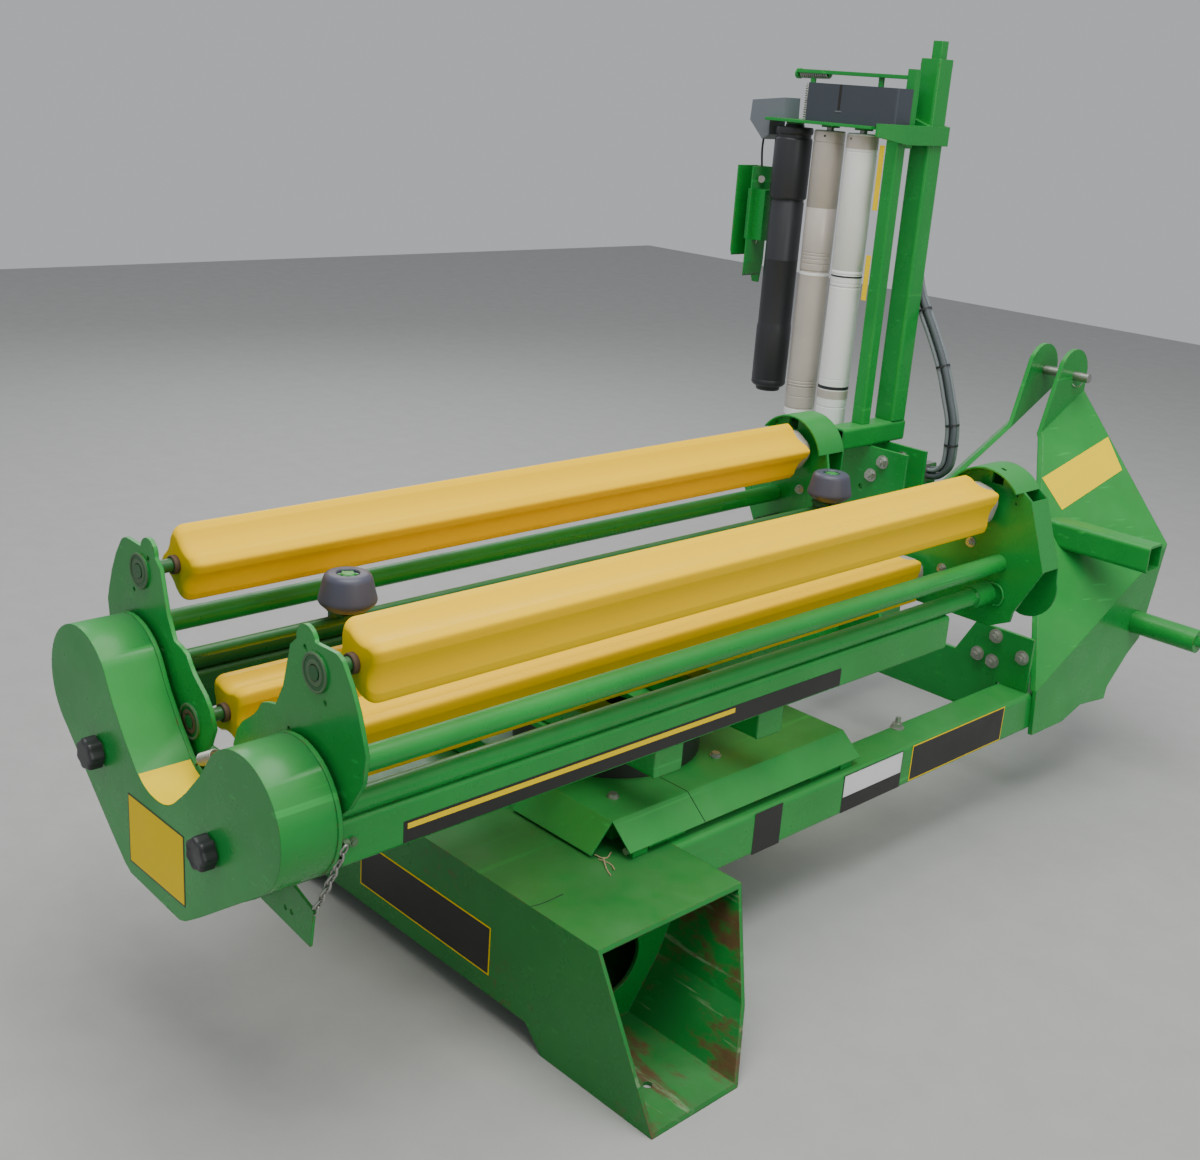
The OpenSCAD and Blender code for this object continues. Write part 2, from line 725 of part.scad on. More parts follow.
flag_outline = [[118, 364], [132, 352], [278, 334], [288, 404], [206, 432]];
module flag_plate() {
    color(green) difference() {
        along_y(-guard_back + guard_depth + 0.3, -guard_back + guard_depth + 5.3) polygon(flag_outline);
        for (x = [206, 224]) disc_y(x, 372, -big, big, 9);
    }
}

// Roller: four-sided plastic body with hollow faces and rounded rear end, on its shaft
corner_r = 12;
module roller_profile(w) {
    difference() {
        round_rect(w, w, corner_r);
        for (a = [0:90:270]) rotate(a) translate([w / 2 + 246, 0]) circle(250, $fn = 128);
    }
}

module roller(p, turn) {
    color(yellow) translate([p[0], 0, p[1]]) rotate([0, turn, 0]) {
        along_y(-roll_back + 18, roll_front) roller_profile(roll_w);
        along_y(-roll_back, -roll_back + 18) roller_profile(roll_w - 24);
        along_y(-plate_back - plate_t / 2 - bearing_t, plate_front + 20) circle(d = shaft_d);
        along_y(roll_front + 1, roll_front + 12) circle(d = 2 * 63);
        along_y(roll_front - 1, roll_front + 2) circle(d = 60);
    }
}

// Film dispenser beside the left headstock plate: two bracket plates and the shelf of the hoses' connector
bracket_plate_y = [1300, 1390];
mast_plate_t = 10;
mast_plate_x = [-440, -205];
bracket_low = 300;
bracket_top = arm_top - arm_s - seat_gap;
bracket_bolts = [[-280, 725], [-314, 680], [-345, 640]];
shelf_t = 6;
module mast_bracket() {
    color(green) difference() {
        union() {
            for (y = bracket_plate_y) along_y(y - mast_plate_t / 2, y + mast_plate_t / 2)
                translate([mast_plate_x[0], bracket_low]) square([mast_plate_x[1] - mast_plate_x[0], bracket_top - bracket_low]);
            along_z(shelf_z - shelf_t, shelf_z) translate([hose_end[0] - connector_l - 5, bracket_plate_y[1]])
                square([connector_l + 5, 110]);
        }
        mirrored() head_inside();
        along_y(-big, big) polygon([[-500, 200], [-366, 200], [-366, 520], [-500, 640]]);
        for (y = bracket_plate_y, p = bracket_bolts) disc_y(p[0], p[1], y - mast_plate_t, y + mast_plate_t, 15);
    }
}

// Arm across the brackets, with the shelf that holds the prestretch rollers' lower ends
arm_y0 = 1165;
grip_z = film_low - 20;
grip_t = 12;
grip_end = 35;
module mast_arm() {
    color(green) {
        along_y(arm_y0, mast_y + mast_s / 2) translate([-mast_x, arm_top - arm_s / 2]) box_tube(mast_s, arm_s, mast_t);
        along_z(grip_z, grip_z + grip_t) translate([-film_x_grey - grip_end, film_y - grip_end])
            square([film_x_grey + grip_end - mast_x - mast_s / 2 + mast_t / 2, 2 * grip_end]);
        for (x = [film_x_white, film_x_grey]) disc_z(-x, film_y, grip_z + grip_t - 1, film_low - 1, 40);
    }
}

module mast() {
    color(green) {
        along_z(arm_top + seat_gap, mast_top) translate([-mast_x, mast_y]) box_tube(mast_s, mast_s, mast_t);
        along_z(mast_top - 40, mast_top + 45) translate([-mast_x, mast_y + 6]) round_rect(30, 30, 3);
        along_z(mast_top - 20, mast_top - 10) translate([-mast_x, mast_y]) square(mast_s - mast_t, center = true);
    }
}

// Clamp: a collar round the mast and a tapered side plate that runs back past the column
clamp_z = [film_top - 18, film_top + 32];
clamp_t = 8;
clamp_tip_y = film_y - 147;
clamp_end_y = mast_y + mast_s / 2 + clamp_t;
module mast_clamp() {
    x0 = -mast_x - mast_s / 2 - seat_gap;
    x1 = -mast_x + mast_s / 2 + seat_gap;
    y1 = mast_y - mast_s / 2 - seat_gap;
    color(green) {
        along_x(x1, x1 + clamp_t) polygon([[clamp_tip_y, clamp_z[0] + clamp_s * 0.36], [film_y - 14, clamp_z[0]],
            [clamp_end_y, clamp_z[0]], [clamp_end_y, clamp_z[1]], [clamp_tip_y, clamp_z[1]]]);
        difference() {
            along_y(y1 - 2 * clamp_t, clamp_end_y) polygon([[x0 - clamp_t, clamp_z[0]], [x1 + 1, clamp_z[0]],
                [x1 + 1, clamp_z[1]], [x0 - clamp_t, clamp_z[1] + 23]]);
            along_z(clamp_z[0] - 1, clamp_z[1] + 30) translate([x0, y1]) square(mast_s + 2 * seat_gap);
        }
    }
}
clamp_s = clamp_z[1] - clamp_z[0];

// Column with a spacer to the clamp's side plate and a thin post above that carries the top bar's end
post_s = 25;
post_y = film_y + column_s / 2 + 11 + post_s / 2;
post_top = film_top + 170;
module dispenser_column() {
    color(green) {
        along_z(arm_top + seat_gap, film_plate_z + film_plate_t) translate([-column_x, film_y]) box_tube(column_s, column_s, 4);
        along_z(clamp_z[0] + 5, film_top) translate([-column_x, film_y - 15])
            square([column_x - mast_x + mast_s / 2, 30]);
        along_z(clamp_z[0] - 10, film_top) translate([-column_x - post_s / 2, film_y + column_s / 2 - 3])
            square([post_s, 20]);
        along_z(clamp_z[0] - 10, post_top) translate([-column_x, post_y]) square(post_s, center = true);
    }
}

// Plate that carries the film rollers' upper ends, and the bar on two posts above it
spindle_d = 20;
film_xs = [film_x_white, film_x_grey, film_x_black];
plate_end = film_x_black + 61;
bar_y = film_y + 47;
top_bar_z = film_plate_z + 130;
module dispenser_plate() {
    top = film_plate_z + film_plate_t;
    color(green) difference() {
        union() {
            along_z(film_plate_z, top) {
                translate([-plate_end, film_y - 60]) square([plate_end - mast_x - mast_s / 2 - 14, 120]);
                translate([-plate_end, film_y - 20]) square([plate_end - column_x - column_s / 2 - seat_gap, 40]);
                translate([-plate_end - 2, film_y + 50]) square([32, 32]);
            }
            along_z(top_bar_z, top_bar_z + 10) translate([-film_x_black - 41, bar_y - 15])
                square([film_x_black + 41 - column_x - post_s / 2 - seat_gap, 30]);
            for (x = [film_x_black - 9, film_x_white - 3]) disc_z(-x, bar_y, top - 1, top_bar_z + 1, 16);
            for (x = film_xs) disc_z(-x, film_y, film_plate_z - 6, film_plate_z + 1, 50);
        }
        for (x = film_xs) disc_z(-x, film_y, film_plate_z - 10, top + 1, spindle_d + 2 * shaft_gap);
    }
}

// Cover of the gears between the prestretch rollers
gear_x = [film_x_grey + 60, column_x - column_s / 2];
gear_y = [film_y - 45, film_y + 26];
cover_wall = 3;
module gear_cover() {
    z0 = film_plate_z + film_plate_t + seat_gap;
    w = gear_x[0] - gear_x[1];
    h = gear_y[1] - gear_y[0];
    color(black) translate([-(gear_x[0] + gear_x[1]) / 2, (gear_y[0] + gear_y[1]) / 2]) difference() {
        along_z(z0, z0 + 98) round_rect(w, h, 8);
        along_z(z0 - 1, z0 + 98 - cover_wall) round_rect(w - 2 * cover_wall, h - 2 * cover_wall, 5);
    }
}

// Box beside the black roller's upper end, which overhangs the plate's end
module sensor_box() {
    color(grey) translate([-film_x_black, 0, film_plate_z + film_plate_t + seat_gap]) along_y(film_y - 35, film_y + 32)
        polygon([[-134, 42], [-18, 54], [-16, 0], [-64, 0], [-64, -47], [-86, -61], [-137, -12]]);
}

// Latch of the film cutter: an upright channel with its lever box, hung from the plate on a post behind the roller
latch_z = [film_top - 443, film_top - 115];
latch_t = 5;
post_x = film_x_black + 50;
module latch_bracket() {
    y0 = film_y - 40;
    color(green) {
        difference() {
            along_y(y0, y0 + 80) translate([-latch_out, 0]) polygon([[0, latch_z[1]], [latch_w, latch_z[1]],
                [latch_w, latch_z[0] + 60], [latch_w - 8, latch_z[0]], [latch_w / 2, latch_z[0]], [0, latch_z[0] + 90]]);
            along_z(latch_z[0] - 1, latch_z[1] + 1) translate([-latch_out + latch_t, y0 - 1])
                square([latch_w - 2 * latch_t, 81 - latch_t]);
        }
        along_z(latch_z[0] + 125, latch_z[1] - 62) translate([-latch_out + latch_w / 2, film_y - 20])
            square([latch_w / 2 + latch_gap - 14, 40]);
        along_z(latch_z[0] + 180, latch_z[1] - 70) polygon([[-latch_out + latch_w, film_y + 5], [-post_x - 25, film_y + 5],
            [-post_x - 1, film_y + 54], [-post_x - 1, film_y + 70], [-post_x - 12, film_y + 70]]);
        along_z(latch_z[0] + 180, film_plate_z - seat_gap) translate([-post_x - 12, film_y + 52]) square([12, 28]);
    }
}

// Black roller: a thick upper part, a wider sleeve below and a cap at its end
black_low = 860;
module film_roller_black() {
    color(black) {
        disc_z(-film_x_black, film_y, black_low, film_top + 2, film_d + 10);
        disc_z(-film_x_black, film_y, black_low, black_low + 188, film_d + 14);
        disc_z(-film_x_black, film_y, film_top - 188, film_top + 2, black_d);
        disc_z(-film_x_black, film_y, black_low - 12, black_low + 1, film_d - 15);
        disc_z(-film_x_black, film_y, film_top + 1, film_plate_z + film_plate_t, spindle_d);
    }
}

module prestretch(x) {
    color("#c9c1b4") {
        disc_z(-x, film_y, film_low, film_top, film_d);
        disc_z(-x, film_y, film_top - 1, film_plate_z + film_plate_t + 6, spindle_d);
    }
}

// Hose bundle, held on the mast's front face and bent round into its connector
hose_d = 40;
hose_y = mast_y + mast_s / 2 + hose_d / 2 + 0.3;
hose_route = [for (p = concat([[-375, 1330], [-374, 1250], [-358, 1185], [-327, 1129], [-284, 1060], [-243, 985],
    [-211, 905], [-186, 830], [-181, 775]], arc([-231, 733], 50, 0, -90, 4), [[-237, 683]])) [p[0], hose_y, p[1]]];
hose_end = hose_route[len(hose_route) - 1];
hose_sides = 8;
function hose_ring(i) = let (a = hose_route[max(i - 1, 0)], b = hose_route[min(i + 1, len(hose_route) - 1)],
    t = unit(b - a), n = unit(cross(t, [0, 1, 0])), m = cross(t, n))
    [for (k = [0:hose_sides - 1]) hose_route[i] + hose_d / 2 * (n * cos(360 * k / hose_sides) + m * sin(360 * k / hose_sides))];
module hoses() {
    rings = len(hose_route);
    points = [for (i = [0:rings - 1]) each hose_ring(i)];
    walls = [for (i = [0:rings - 2], k = [0:hose_sides - 1])
        let (a = i * hose_sides + k, b = i * hose_sides + (k + 1) % hose_sides)
        [a, b, b + hose_sides, a + hose_sides]];
    ends = [back([for (k = [0:hose_sides - 1]) k]), [for (k = [0:hose_sides - 1]) (rings - 1) * hose_sides + k]];
    color(black) polyhedron(points, concat(walls, ends));
}

connector_l = 85;
connector_h = 52;
shelf_z = hose_end[2] - connector_h / 2 - 0.3;
module hose_connector() {
    color(steel) along_x(hose_end[0] - connector_l, hose_end[0] - 0.3)
        translate([hose_end[1], hose_end[2]]) round_rect(60, connector_h, 6);
}

placed() foot_beam();
placed() main_beam();  // beam_right
placed() mirrored() main_beam();  // beam_left
placed() head_plate();  // headstock_right
placed() mirrored() head_plate();  // headstock_left
placed() cross_plate();
placed() top_pin();
placed() lower_link_bar();
placed() side_bracket();
placed() hinge_knuckles();
placed() hinge_pin();
placed() rest_pad();
placed() cylinder_clevis();
placed() mast_bracket();
placed() mast_arm();
placed() mast();
placed() mast_clamp();
placed() dispenser_column();
placed() dispenser_plate();
placed() gear_cover();
placed() sensor_box();
placed() latch_bracket();
placed() hoses();
placed() hose_connector();
placed() film_roller_black();
placed() prestretch(film_x_grey);  // film_roller_grey
placed() prestretch(film_x_white);  // film_roller_white
placed() tilt_frame();
placed() tilt_cover();
placed() slew_ring();
placed() cylinder_barrel();
placed() cylinder_rod();
placed() table_hub();
placed() side_rail();  // rail_right
placed() mirrored() side_rail();  // rail_left
placed() side_tube();  // side_tube_right
placed() mirrored() side_tube();  // side_tube_left
placed() rear_plate();  // rear_plate_right
placed() mirrored() rear_plate();  // rear_plate_left
placed() front_plate();  // front_plate_right
placed() mirrored() front_plate();  // front_plate_left
placed() table_ends();
placed() rear_guard();
placed() guard_knobs();
placed() cone_bar();
placed() flag_plate();
placed() roller([roll_up_x, roll_up_z], 14);  // roller_upper_right
placed() roller([-roll_up_x, roll_up_z], 34);  // roller_upper_left
placed() roller([roll_low_x, roll_low_z], 0);  // roller_lower_right
placed() roller([-roll_low_x, roll_low_z], 0);  // roller_lower_left
placed() bale_cone(cone_at[0]);  // cone_rear
placed() bale_cone(cone_at[1]);  // cone_front
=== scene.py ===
"""Looks of a linkage-mounted bale wrapper: finishes, bolts, plates, hoses and moulded rollers."""

import json
import math

import bmesh
import bpy
from mathutils import Matrix, Vector


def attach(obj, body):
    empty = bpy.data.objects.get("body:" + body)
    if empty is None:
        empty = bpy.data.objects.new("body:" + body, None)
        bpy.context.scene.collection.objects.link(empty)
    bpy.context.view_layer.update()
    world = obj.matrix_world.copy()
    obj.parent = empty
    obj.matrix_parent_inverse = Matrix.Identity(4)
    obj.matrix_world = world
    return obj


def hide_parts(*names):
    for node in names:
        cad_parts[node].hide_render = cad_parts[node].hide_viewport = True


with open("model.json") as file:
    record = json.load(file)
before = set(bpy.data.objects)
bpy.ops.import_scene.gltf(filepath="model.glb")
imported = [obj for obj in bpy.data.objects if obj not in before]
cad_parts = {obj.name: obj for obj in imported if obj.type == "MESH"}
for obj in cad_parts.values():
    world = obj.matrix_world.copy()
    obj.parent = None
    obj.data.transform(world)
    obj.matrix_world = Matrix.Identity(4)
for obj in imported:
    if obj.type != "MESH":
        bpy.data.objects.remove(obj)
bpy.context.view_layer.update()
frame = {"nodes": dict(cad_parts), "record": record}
cad_nodes = frame["nodes"]

MM = 0.001
joint_place = {j["name"]: Vector(j.get("pos_m", (0, 0, 0))) for j in frame["record"]["behaviour"]["joints"]}
# The table's spin axis is x = y = 0 of all places below, which are in millimetres
SPIN = Vector((joint_place["table_spin"].x, joint_place["table_spin"].y, 0))


def at(x, y, z):
    """A place in millimetres from the spin axis and the ground, in the frame's metres."""
    return SPIN + Vector((x, y, z)) * MM


# Camera, light and floor

CAMERA_PLACE = (2029, -2064, 1693)
CAMERA_RIGHT = (0.685807, 0.724603, 0.067973)
CAMERA_DOWN = (0.280197, -0.176683, -0.943543)
FOCAL_PIXELS = 1479.0
IMAGE_WIDTH = 1200
SENSOR_WIDTH = 36.0


def make_camera():
    right = Vector(CAMERA_RIGHT)
    up = -Vector(CAMERA_DOWN)
    behind = right.cross(up)
    data = bpy.data.cameras.new("camera")
    data.sensor_fit = "HORIZONTAL"
    data.sensor_width = SENSOR_WIDTH
    data.lens = FOCAL_PIXELS / IMAGE_WIDTH * SENSOR_WIDTH
    data.clip_end = 50
    camera = bpy.data.objects.new("camera", data)
    turn = Matrix((right, up, behind)).transposed().to_4x4()
    camera.matrix_world = Matrix.Translation(at(*CAMERA_PLACE)) @ turn
    bpy.context.scene.collection.objects.link(camera)
    bpy.context.scene.camera = camera


def area_light(name, place, aim, size, power, colour=(1, 1, 1)):
    data = bpy.data.lights.new(name, "AREA")
    data.shape = "DISK"
    data.size = size
    data.energy = power
    data.color = colour
    light = bpy.data.objects.new(name, data)
    light.location = place
    light.rotation_euler = (Vector(aim) - Vector(place)).to_track_quat("-Z", "Y").to_euler()
    bpy.context.scene.collection.objects.link(light)


def make_studio():
    area_light("sky_light", (0.6, -0.6, 5.5), (0, 0, 0.5), 5.0, 330, (0.99, 1.0, 0.95))
    area_light("side_light", (5.0, -0.6, 3.0), (0, 0.2, 0.6), 3.0, 70, (1.0, 1.0, 0.93))
    area_light("far_light", (-4.2, 1.8, 3.6), (0, 0.4, 0.7), 3.0, 75, (0.97, 0.98, 1.0))
    world = bpy.data.worlds.new("studio")
    world.use_nodes = True
    world.node_tree.nodes["Background"].inputs["Color"].default_value = (0.88, 0.91, 0.95, 1)
    world.node_tree.nodes["Background"].inputs["Strength"].default_value = 0.52
    bpy.context.scene.world = world
    bm = bmesh.new()
    bmesh.ops.create_grid(bm, x_segments=1, y_segments=1, size=9)
    mesh = bpy.data.meshes.new("floor")
    bm.to_mesh(mesh)
    bm.free()
    floor = bpy.data.objects.new("floor", mesh)
    bpy.context.scene.collection.objects.link(floor)
    floor.data.materials.append(plain("studio_floor", (0.40, 0.40, 0.395), 0.9))


# Materials

def start(name):
    """A new material with its shader and the object coordinates."""
    material = bpy.data.materials.new(name)
    material.use_nodes = True
    tree = material.node_tree
    place = tree.nodes.new("ShaderNodeTexCoord").outputs["Object"]
    return material, tree, tree.nodes["Principled BSDF"], place


def noise(tree, place, scale, detail=4.0, rough=0.6, stretch=None):
    """Noise between 0 and 1; stretch multiplies the coordinates along each axis."""
    if stretch:
        mapping = tree.nodes.new("ShaderNodeMapping")
        mapping.inputs["Scale"].default_value = stretch
        tree.links.new(place, mapping.inputs["Vector"])
        place = mapping.outputs["Vector"]
    node = tree.nodes.new("ShaderNodeTexNoise")
    node.inputs["Scale"].default_value = scale
    node.inputs["Detail"].default_value = detail
    node.inputs["Roughness"].default_value = rough
    tree.links.new(place, node.inputs["Vector"])
    return node.outputs["Fac"]


def band(tree, value, low, high, bottom=0.0, top=1.0):
    """value between low and high, spread smoothly from bottom to top."""
    node = tree.nodes.new("ShaderNodeMapRange")
    node.interpolation_type = "SMOOTHSTEP"
    for name, number in (("From Min", low), ("From Max", high), ("To Min", bottom), ("To Max", top)):
        node.inputs[name].default_value = number
    tree.links.new(value, node.inputs["Value"])
    return node.outputs["Result"]


def sums(tree, kind, first, second):
    """first and second joined by a math operation; either may be a number."""
    node = tree.nodes.new("ShaderNodeMath")
    node.operation = kind
    for socket, value in zip(node.inputs, (first, second)):
        if isinstance(value, (int, float)):
            socket.default_value = value
        else:
            tree.links.new(value, socket)
    return node.outputs[0]


def blend(tree, share, first, second):
    """Colour first turning into colour second by share; a colour may be a tuple or an output."""
    node = tree.nodes.new("ShaderNodeMix")
    node.data_type = "RGBA"
    if isinstance(share, (int, float)):
        node.inputs["Factor"].default_value = share
    else:
        tree.links.new(share, node.inputs["Factor"])
    for socket, colour in ((node.inputs[6], first), (node.inputs[7], second)):
        if isinstance(colour, tuple):
            socket.default_value = (*colour, 1)
        else:
            tree.links.new(colour, socket)
    return node.outputs[2]


def bump(tree, shader, height, strength, distance=0.001, normal=None):
    """A bump of the shader's surface from height, on top of normal where one is given."""
    node = tree.nodes.new("ShaderNodeBump")
    node.inputs["Strength"].default_value = strength
    node.inputs["Distance"].default_value = distance
    tree.links.new(height, node.inputs["Height"])
    if normal is not None:
        tree.links.new(normal, node.inputs["Normal"])
    tree.links.new(node.outputs["Normal"], shader.inputs["Normal"])


def facing_up(tree):
    """1 where a face looks up, 0 where it is upright or looks down."""
    geometry = tree.nodes.new("ShaderNodeNewGeometry")
    split = tree.nodes.new("ShaderNodeSeparateXYZ")
    tree.links.new(geometry.outputs["Normal"], split.inputs["Vector"])
    return band(tree, split.outputs["Z"], 0.25, 0.95)


def edge_share(tree, radius):
    """1 on sharp edges, from the difference between the true normal and a rounded one."""
    bevel = tree.nodes.new("ShaderNodeBevel")
    bevel.samples = 4
    bevel.inputs["Radius"].default_value = radius
    geometry = tree.nodes.new("ShaderNodeNewGeometry")
    dot = tree.nodes.new("ShaderNodeVectorMath")
    dot.operation = "DOT_PRODUCT"
    tree.links.new(bevel.outputs["Normal"], dot.inputs[0])
    tree.links.new(geometry.outputs["Normal"], dot.inputs[1])
    return band(tree, dot.outputs["Value"], 0.985, 0.85), bevel.outputs["Normal"]


def plain(name, colour, rough, metal=0.0, mottle=0.12, grain=60.0, shine=0.5):
    """A surface of one colour with slight mottling and a fine bump."""
    material, tree, shader, place = start(name)
    shader.inputs["Specular IOR Level"].default_value = shine
    darker = tuple(part * (1 - mottle) for part in colour)
    patches = noise(tree, place, grain / 6, 5)
    tree.links.new(blend(tree, patches, colour, darker), shader.inputs["Base Color"])
    tree.links.new(band(tree, patches, 0.2, 0.8, rough * 0.85, min(1, rough * 1.15)), shader.inputs["Roughness"])
    shader.inputs["Metallic"].default_value = metal
    bump(tree, shader, noise(tree, place, grain * 8, 3), 0.06)
    return material


RUST = (0.20, 0.075, 0.028)
DUST = (0.36, 0.33, 0.27)


def inside_of(tree, place, centre, reach):
    """1 on faces that look towards a long hollow's middle line along x, fading in between two reaches of x."""
    geometry = tree.nodes.new("ShaderNodeNewGeometry")
    offset = tree.nodes.new("ShaderNodeVectorMath")
    offset.operation = "SUBTRACT"
    offset.inputs[1].default_value = centre
    tree.links.new(place, offset.inputs[0])
    across = tree.nodes.new("ShaderNodeVectorMath")
    across.operation = "MULTIPLY"
    across.inputs[1].default_value = (0, 1, 1)
    tree.links.new(offset.outputs["Vector"], across.inputs[0])
    dot = tree.nodes.new("ShaderNodeVectorMath")
    dot.operation = "DOT_PRODUCT"
    tree.links.new(across.outputs["Vector"], dot.inputs[0])
    tree.links.new(geometry.outputs["Normal"], dot.inputs[1])
    split = tree.nodes.new("ShaderNodeSeparateXYZ")
    tree.links.new(offset.outputs["Vector"], split.inputs["Vector"])
    outward = band(tree, sums(tree, "ABSOLUTE", split.outputs["X"], 0), *reach)
    return sums(tree, "MULTIPLY", band(tree, dot.outputs["Value"], -0.01, -0.04), outward)


def scraped(tree, place, paint, hollow):
    """Rust streaks, scrapes, and grime with painted shade inside the open ends of the foot."""
    streaks = noise(tree, place, 9, 8, 0.75, (0.5, 1.6, 0.7))
    rust = sums(tree, "MULTIPLY", hollow, band(tree, streaks, 0.50, 0.62, 0.0, 0.9))
    # painted shade: dark green patches inside the hollow, with grime
    shade_and_grime = sums(tree, "MULTIPLY", hollow, band(tree, noise(tree, place, 4, 5), 0.35, 0.75, 0.0, 0.4))
    scrapes = noise(tree, place, 17, 4, 0.6, (0.18, 1.0, 2.4))
    scrape = sums(tree, "MULTIPLY", hollow, band(tree, scrapes, 0.58, 0.64, 0.0, 0.7))
    paint = blend(tree, shade_and_grime, paint, (0.012, 0.075, 0.018))
    paint = blend(tree, scrape, paint, (0.20, 0.30, 0.16))
    shade = blend(tree, noise(tree, place, 45, 6, 0.7), (0.16, 0.065, 0.030), (0.06, 0.036, 0.024))
    return blend(tree, rust, paint, shade)


def green_paint(name, colour=(0.012, 0.255, 0.038), wear=1.0, dust=0.35, hollow=None):
    """Gloss machine paint: faded patches, dust on top faces, scratches, and rust on worn edges."""
    material, tree, shader, place = start(name)
    faded = tuple(part * 1.25 + 0.003 for part in colour)
    patches = band(tree, noise(tree, place, 2.6, 6), 0.35, 0.7)
    paint = blend(tree, patches, colour, faded)
    specks = band(tree, noise(tree, place, 38, 6, 0.7), 0.5, 0.78)
    film = sums(tree, "MULTIPLY", facing_up(tree), band(tree, noise(tree, place, 7, 8, 0.7), 0.25, 0.8, 0.25, 1.0))
    paint = blend(tree, sums(tree, "MULTIPLY", film, dust), paint, DUST)
    scratch = band(tree, noise(tree, place, 26, 3, 0.5, (1.0, 0.05, 3.0)), 0.66, 0.72, 0.0, 0.35)
    paint = blend(tree, scratch, paint, tuple(part * 2.0 + 0.02 for part in colour))
    # inside the hollow: rust, scrapes, grime and painted shade
    if hollow:
        paint = scraped(tree, place, paint, inside_of(tree, place, *hollow))
    edges, rounded = edge_share(tree, 0.003)
    chips = band(tree, noise(tree, place, 55, 5, 0.7), 0.60 - 0.05 * wear, 0.66 - 0.05 * wear)
    worn = sums(tree, "MULTIPLY", edges, chips)
    spots = sums(tree, "MULTIPLY", specks, band(tree, noise(tree, place, 3.1, 3), 0.60, 0.74, 0.0, 0.7 * wear))
    rust = sums(tree, "MAXIMUM", worn, spots)
    rust_colour = blend(tree, noise(tree, place, 120, 4), RUST, (0.09, 0.035, 0.018))
    tree.links.new(blend(tree, rust, paint, rust_colour), shader.inputs["Base Color"])
    sheen = band(tree, noise(tree, place, 9, 5), 0.3, 0.75, 0.22, 0.40)
    gloss = sums(tree, "ADD", sheen, sums(tree, "MULTIPLY", film, 0.25))
    rough = sums(tree, "MAXIMUM", gloss, sums(tree, "MULTIPLY", rust, 0.85))
    tree.links.new(rough, shader.inputs["Roughness"])
    shader.inputs["Specular IOR Level"].default_value = 0.40
    shader.inputs["Coat Weight"].default_value = 0.08
    shader.inputs["Coat Roughness"].default_value = 0.12
    height = sums(tree, "SUBTRACT", noise(tree, place, 160, 3), sums(tree, "MULTIPLY", rust, 1.5))
    bump(tree, shader, height, 0.10, 0.0012, rounded)
    return material


def make_materials():
    return {
        "green": green_paint("green_paint", dust=0.10),
        "foot": green_paint("foot_paint", (0.004, 0.165, 0.022), wear=1.9, dust=0.12,
                            hollow=(at(0, -315, 150), (0.26, 0.42))),
        # painted shade: a darker copy of the green paint for parts that lie in shade
        "shaded": green_paint("shaded_paint", (0.008, 0.10, 0.020), dust=0.10),
        # worn paint in a lighter grey-green; on the bearing rims it is also a painted edge highlight
        "worn_and_highlight_green": plain("worn_and_highlight_green", (0.11, 0.20, 0.10), 0.5, 0.1, 0.35, 150),
        "seam": plain("seam_shadow", (0.004, 0.030, 0.008), 0.7),
        "twine": plain("twine", (0.42, 0.33, 0.20), 0.8),
        "steel": plain("zinc_steel", (0.50, 0.49, 0.46), 0.42, 0.9, 0.35),
        "dark_steel": plain("oily_steel", (0.045, 0.05, 0.045), 0.45, 0.4, 0.3),
        "rust": plain("rusty_steel", (0.16, 0.10, 0.065), 0.7, 0.2, 0.45),
        "black": plain("black_plastic", (0.030, 0.031, 0.034), 0.42),
        "cover_black": plain("cover_plastic", (0.050, 0.060, 0.078), 0.38),
        "grey": plain("grey_plastic", (0.16, 0.18, 0.21), 0.5),
        "hose": plain("hose_rubber", (0.10, 0.115, 0.13), 0.55),
        "hose_light": plain("hose_sleeve", (0.20, 0.225, 0.24), 0.5),
        "rubber": plain("cone_rubber", (0.075, 0.078, 0.120), 0.45, 0.0, 0.25),
        "pad": plain("pad_rubber", (0.02, 0.02, 0.02), 0.8),
        "film_white": plain("white_enamel", (0.93, 0.94, 0.94), 0.32, 0.0, 0.10),
        "film_grey": plain("worn_aluminium", (0.62, 0.56, 0.51), 0.38, 0.15, 0.25),
        "film_black": plain("black_sleeve", (0.034, 0.036, 0.042), 0.4, 0.0, 0.12, 60.0, 0.35),
        "yellow": plain("yellow_plastic", (1.0, 0.60, 0.0), 0.42, 0.0, 0.05, 60.0, 0.10),
        "nylon": plain("nylon", (0.46, 0.43, 0.38), 0.5, 0.0, 0.45, 60.0),
        "bolt": plain("zinc_bolt", (0.58, 0.58, 0.54), 0.38, 0.8, 0.3, 200),
        "plate_black": plain("plate_black", (0.014, 0.013, 0.012), 0.4),
        "plate_yellow": plain("plate_yellow", (1.0, 0.70, 0.0), 0.5, 0.0, 0.05, 60.0, 0.12),
        "plate_white": plain("plate_white", (0.86, 0.87, 0.87), 0.4),
    }


# Every node not named here is painted green
FINISHED = {
    "foot": ("foot_beam",),
    # these two take the darker green of painted shade
    "shaded": ("cone_bar", "rail_left"),
    "steel": ("top_pin", "hinge_pin", "hose_connector", "cylinder_rod"),
    "dark_steel": ("slew_ring",),
    "pad": ("rest_pad",),
    "cover_black": ("gear_cover",),
    "black": ("guard_knobs", "hoses"),
    "grey": ("sensor_box",),
    "film_black": ("film_roller_black",),
    "film_grey": ("film_roller_grey",),
    "film_white": ("film_roller_white",),
    "rubber": ("cone_rear", "cone_front"),
    "yellow": ("roller_upper_right", "roller_upper_left", "roller_lower_right", "roller_lower_left"),
}
FINISH_OF = {node: finish for finish, nodes in FINISHED.items() for node in nodes}


def finish_nodes():
    """Every node in its own finish."""
    for name, node in cad_nodes.items():
        node.data.materials.clear()
        node.data.materials.append(MATERIALS[FINISH_OF.get(name, "green")])


# Smooth copies of nodes

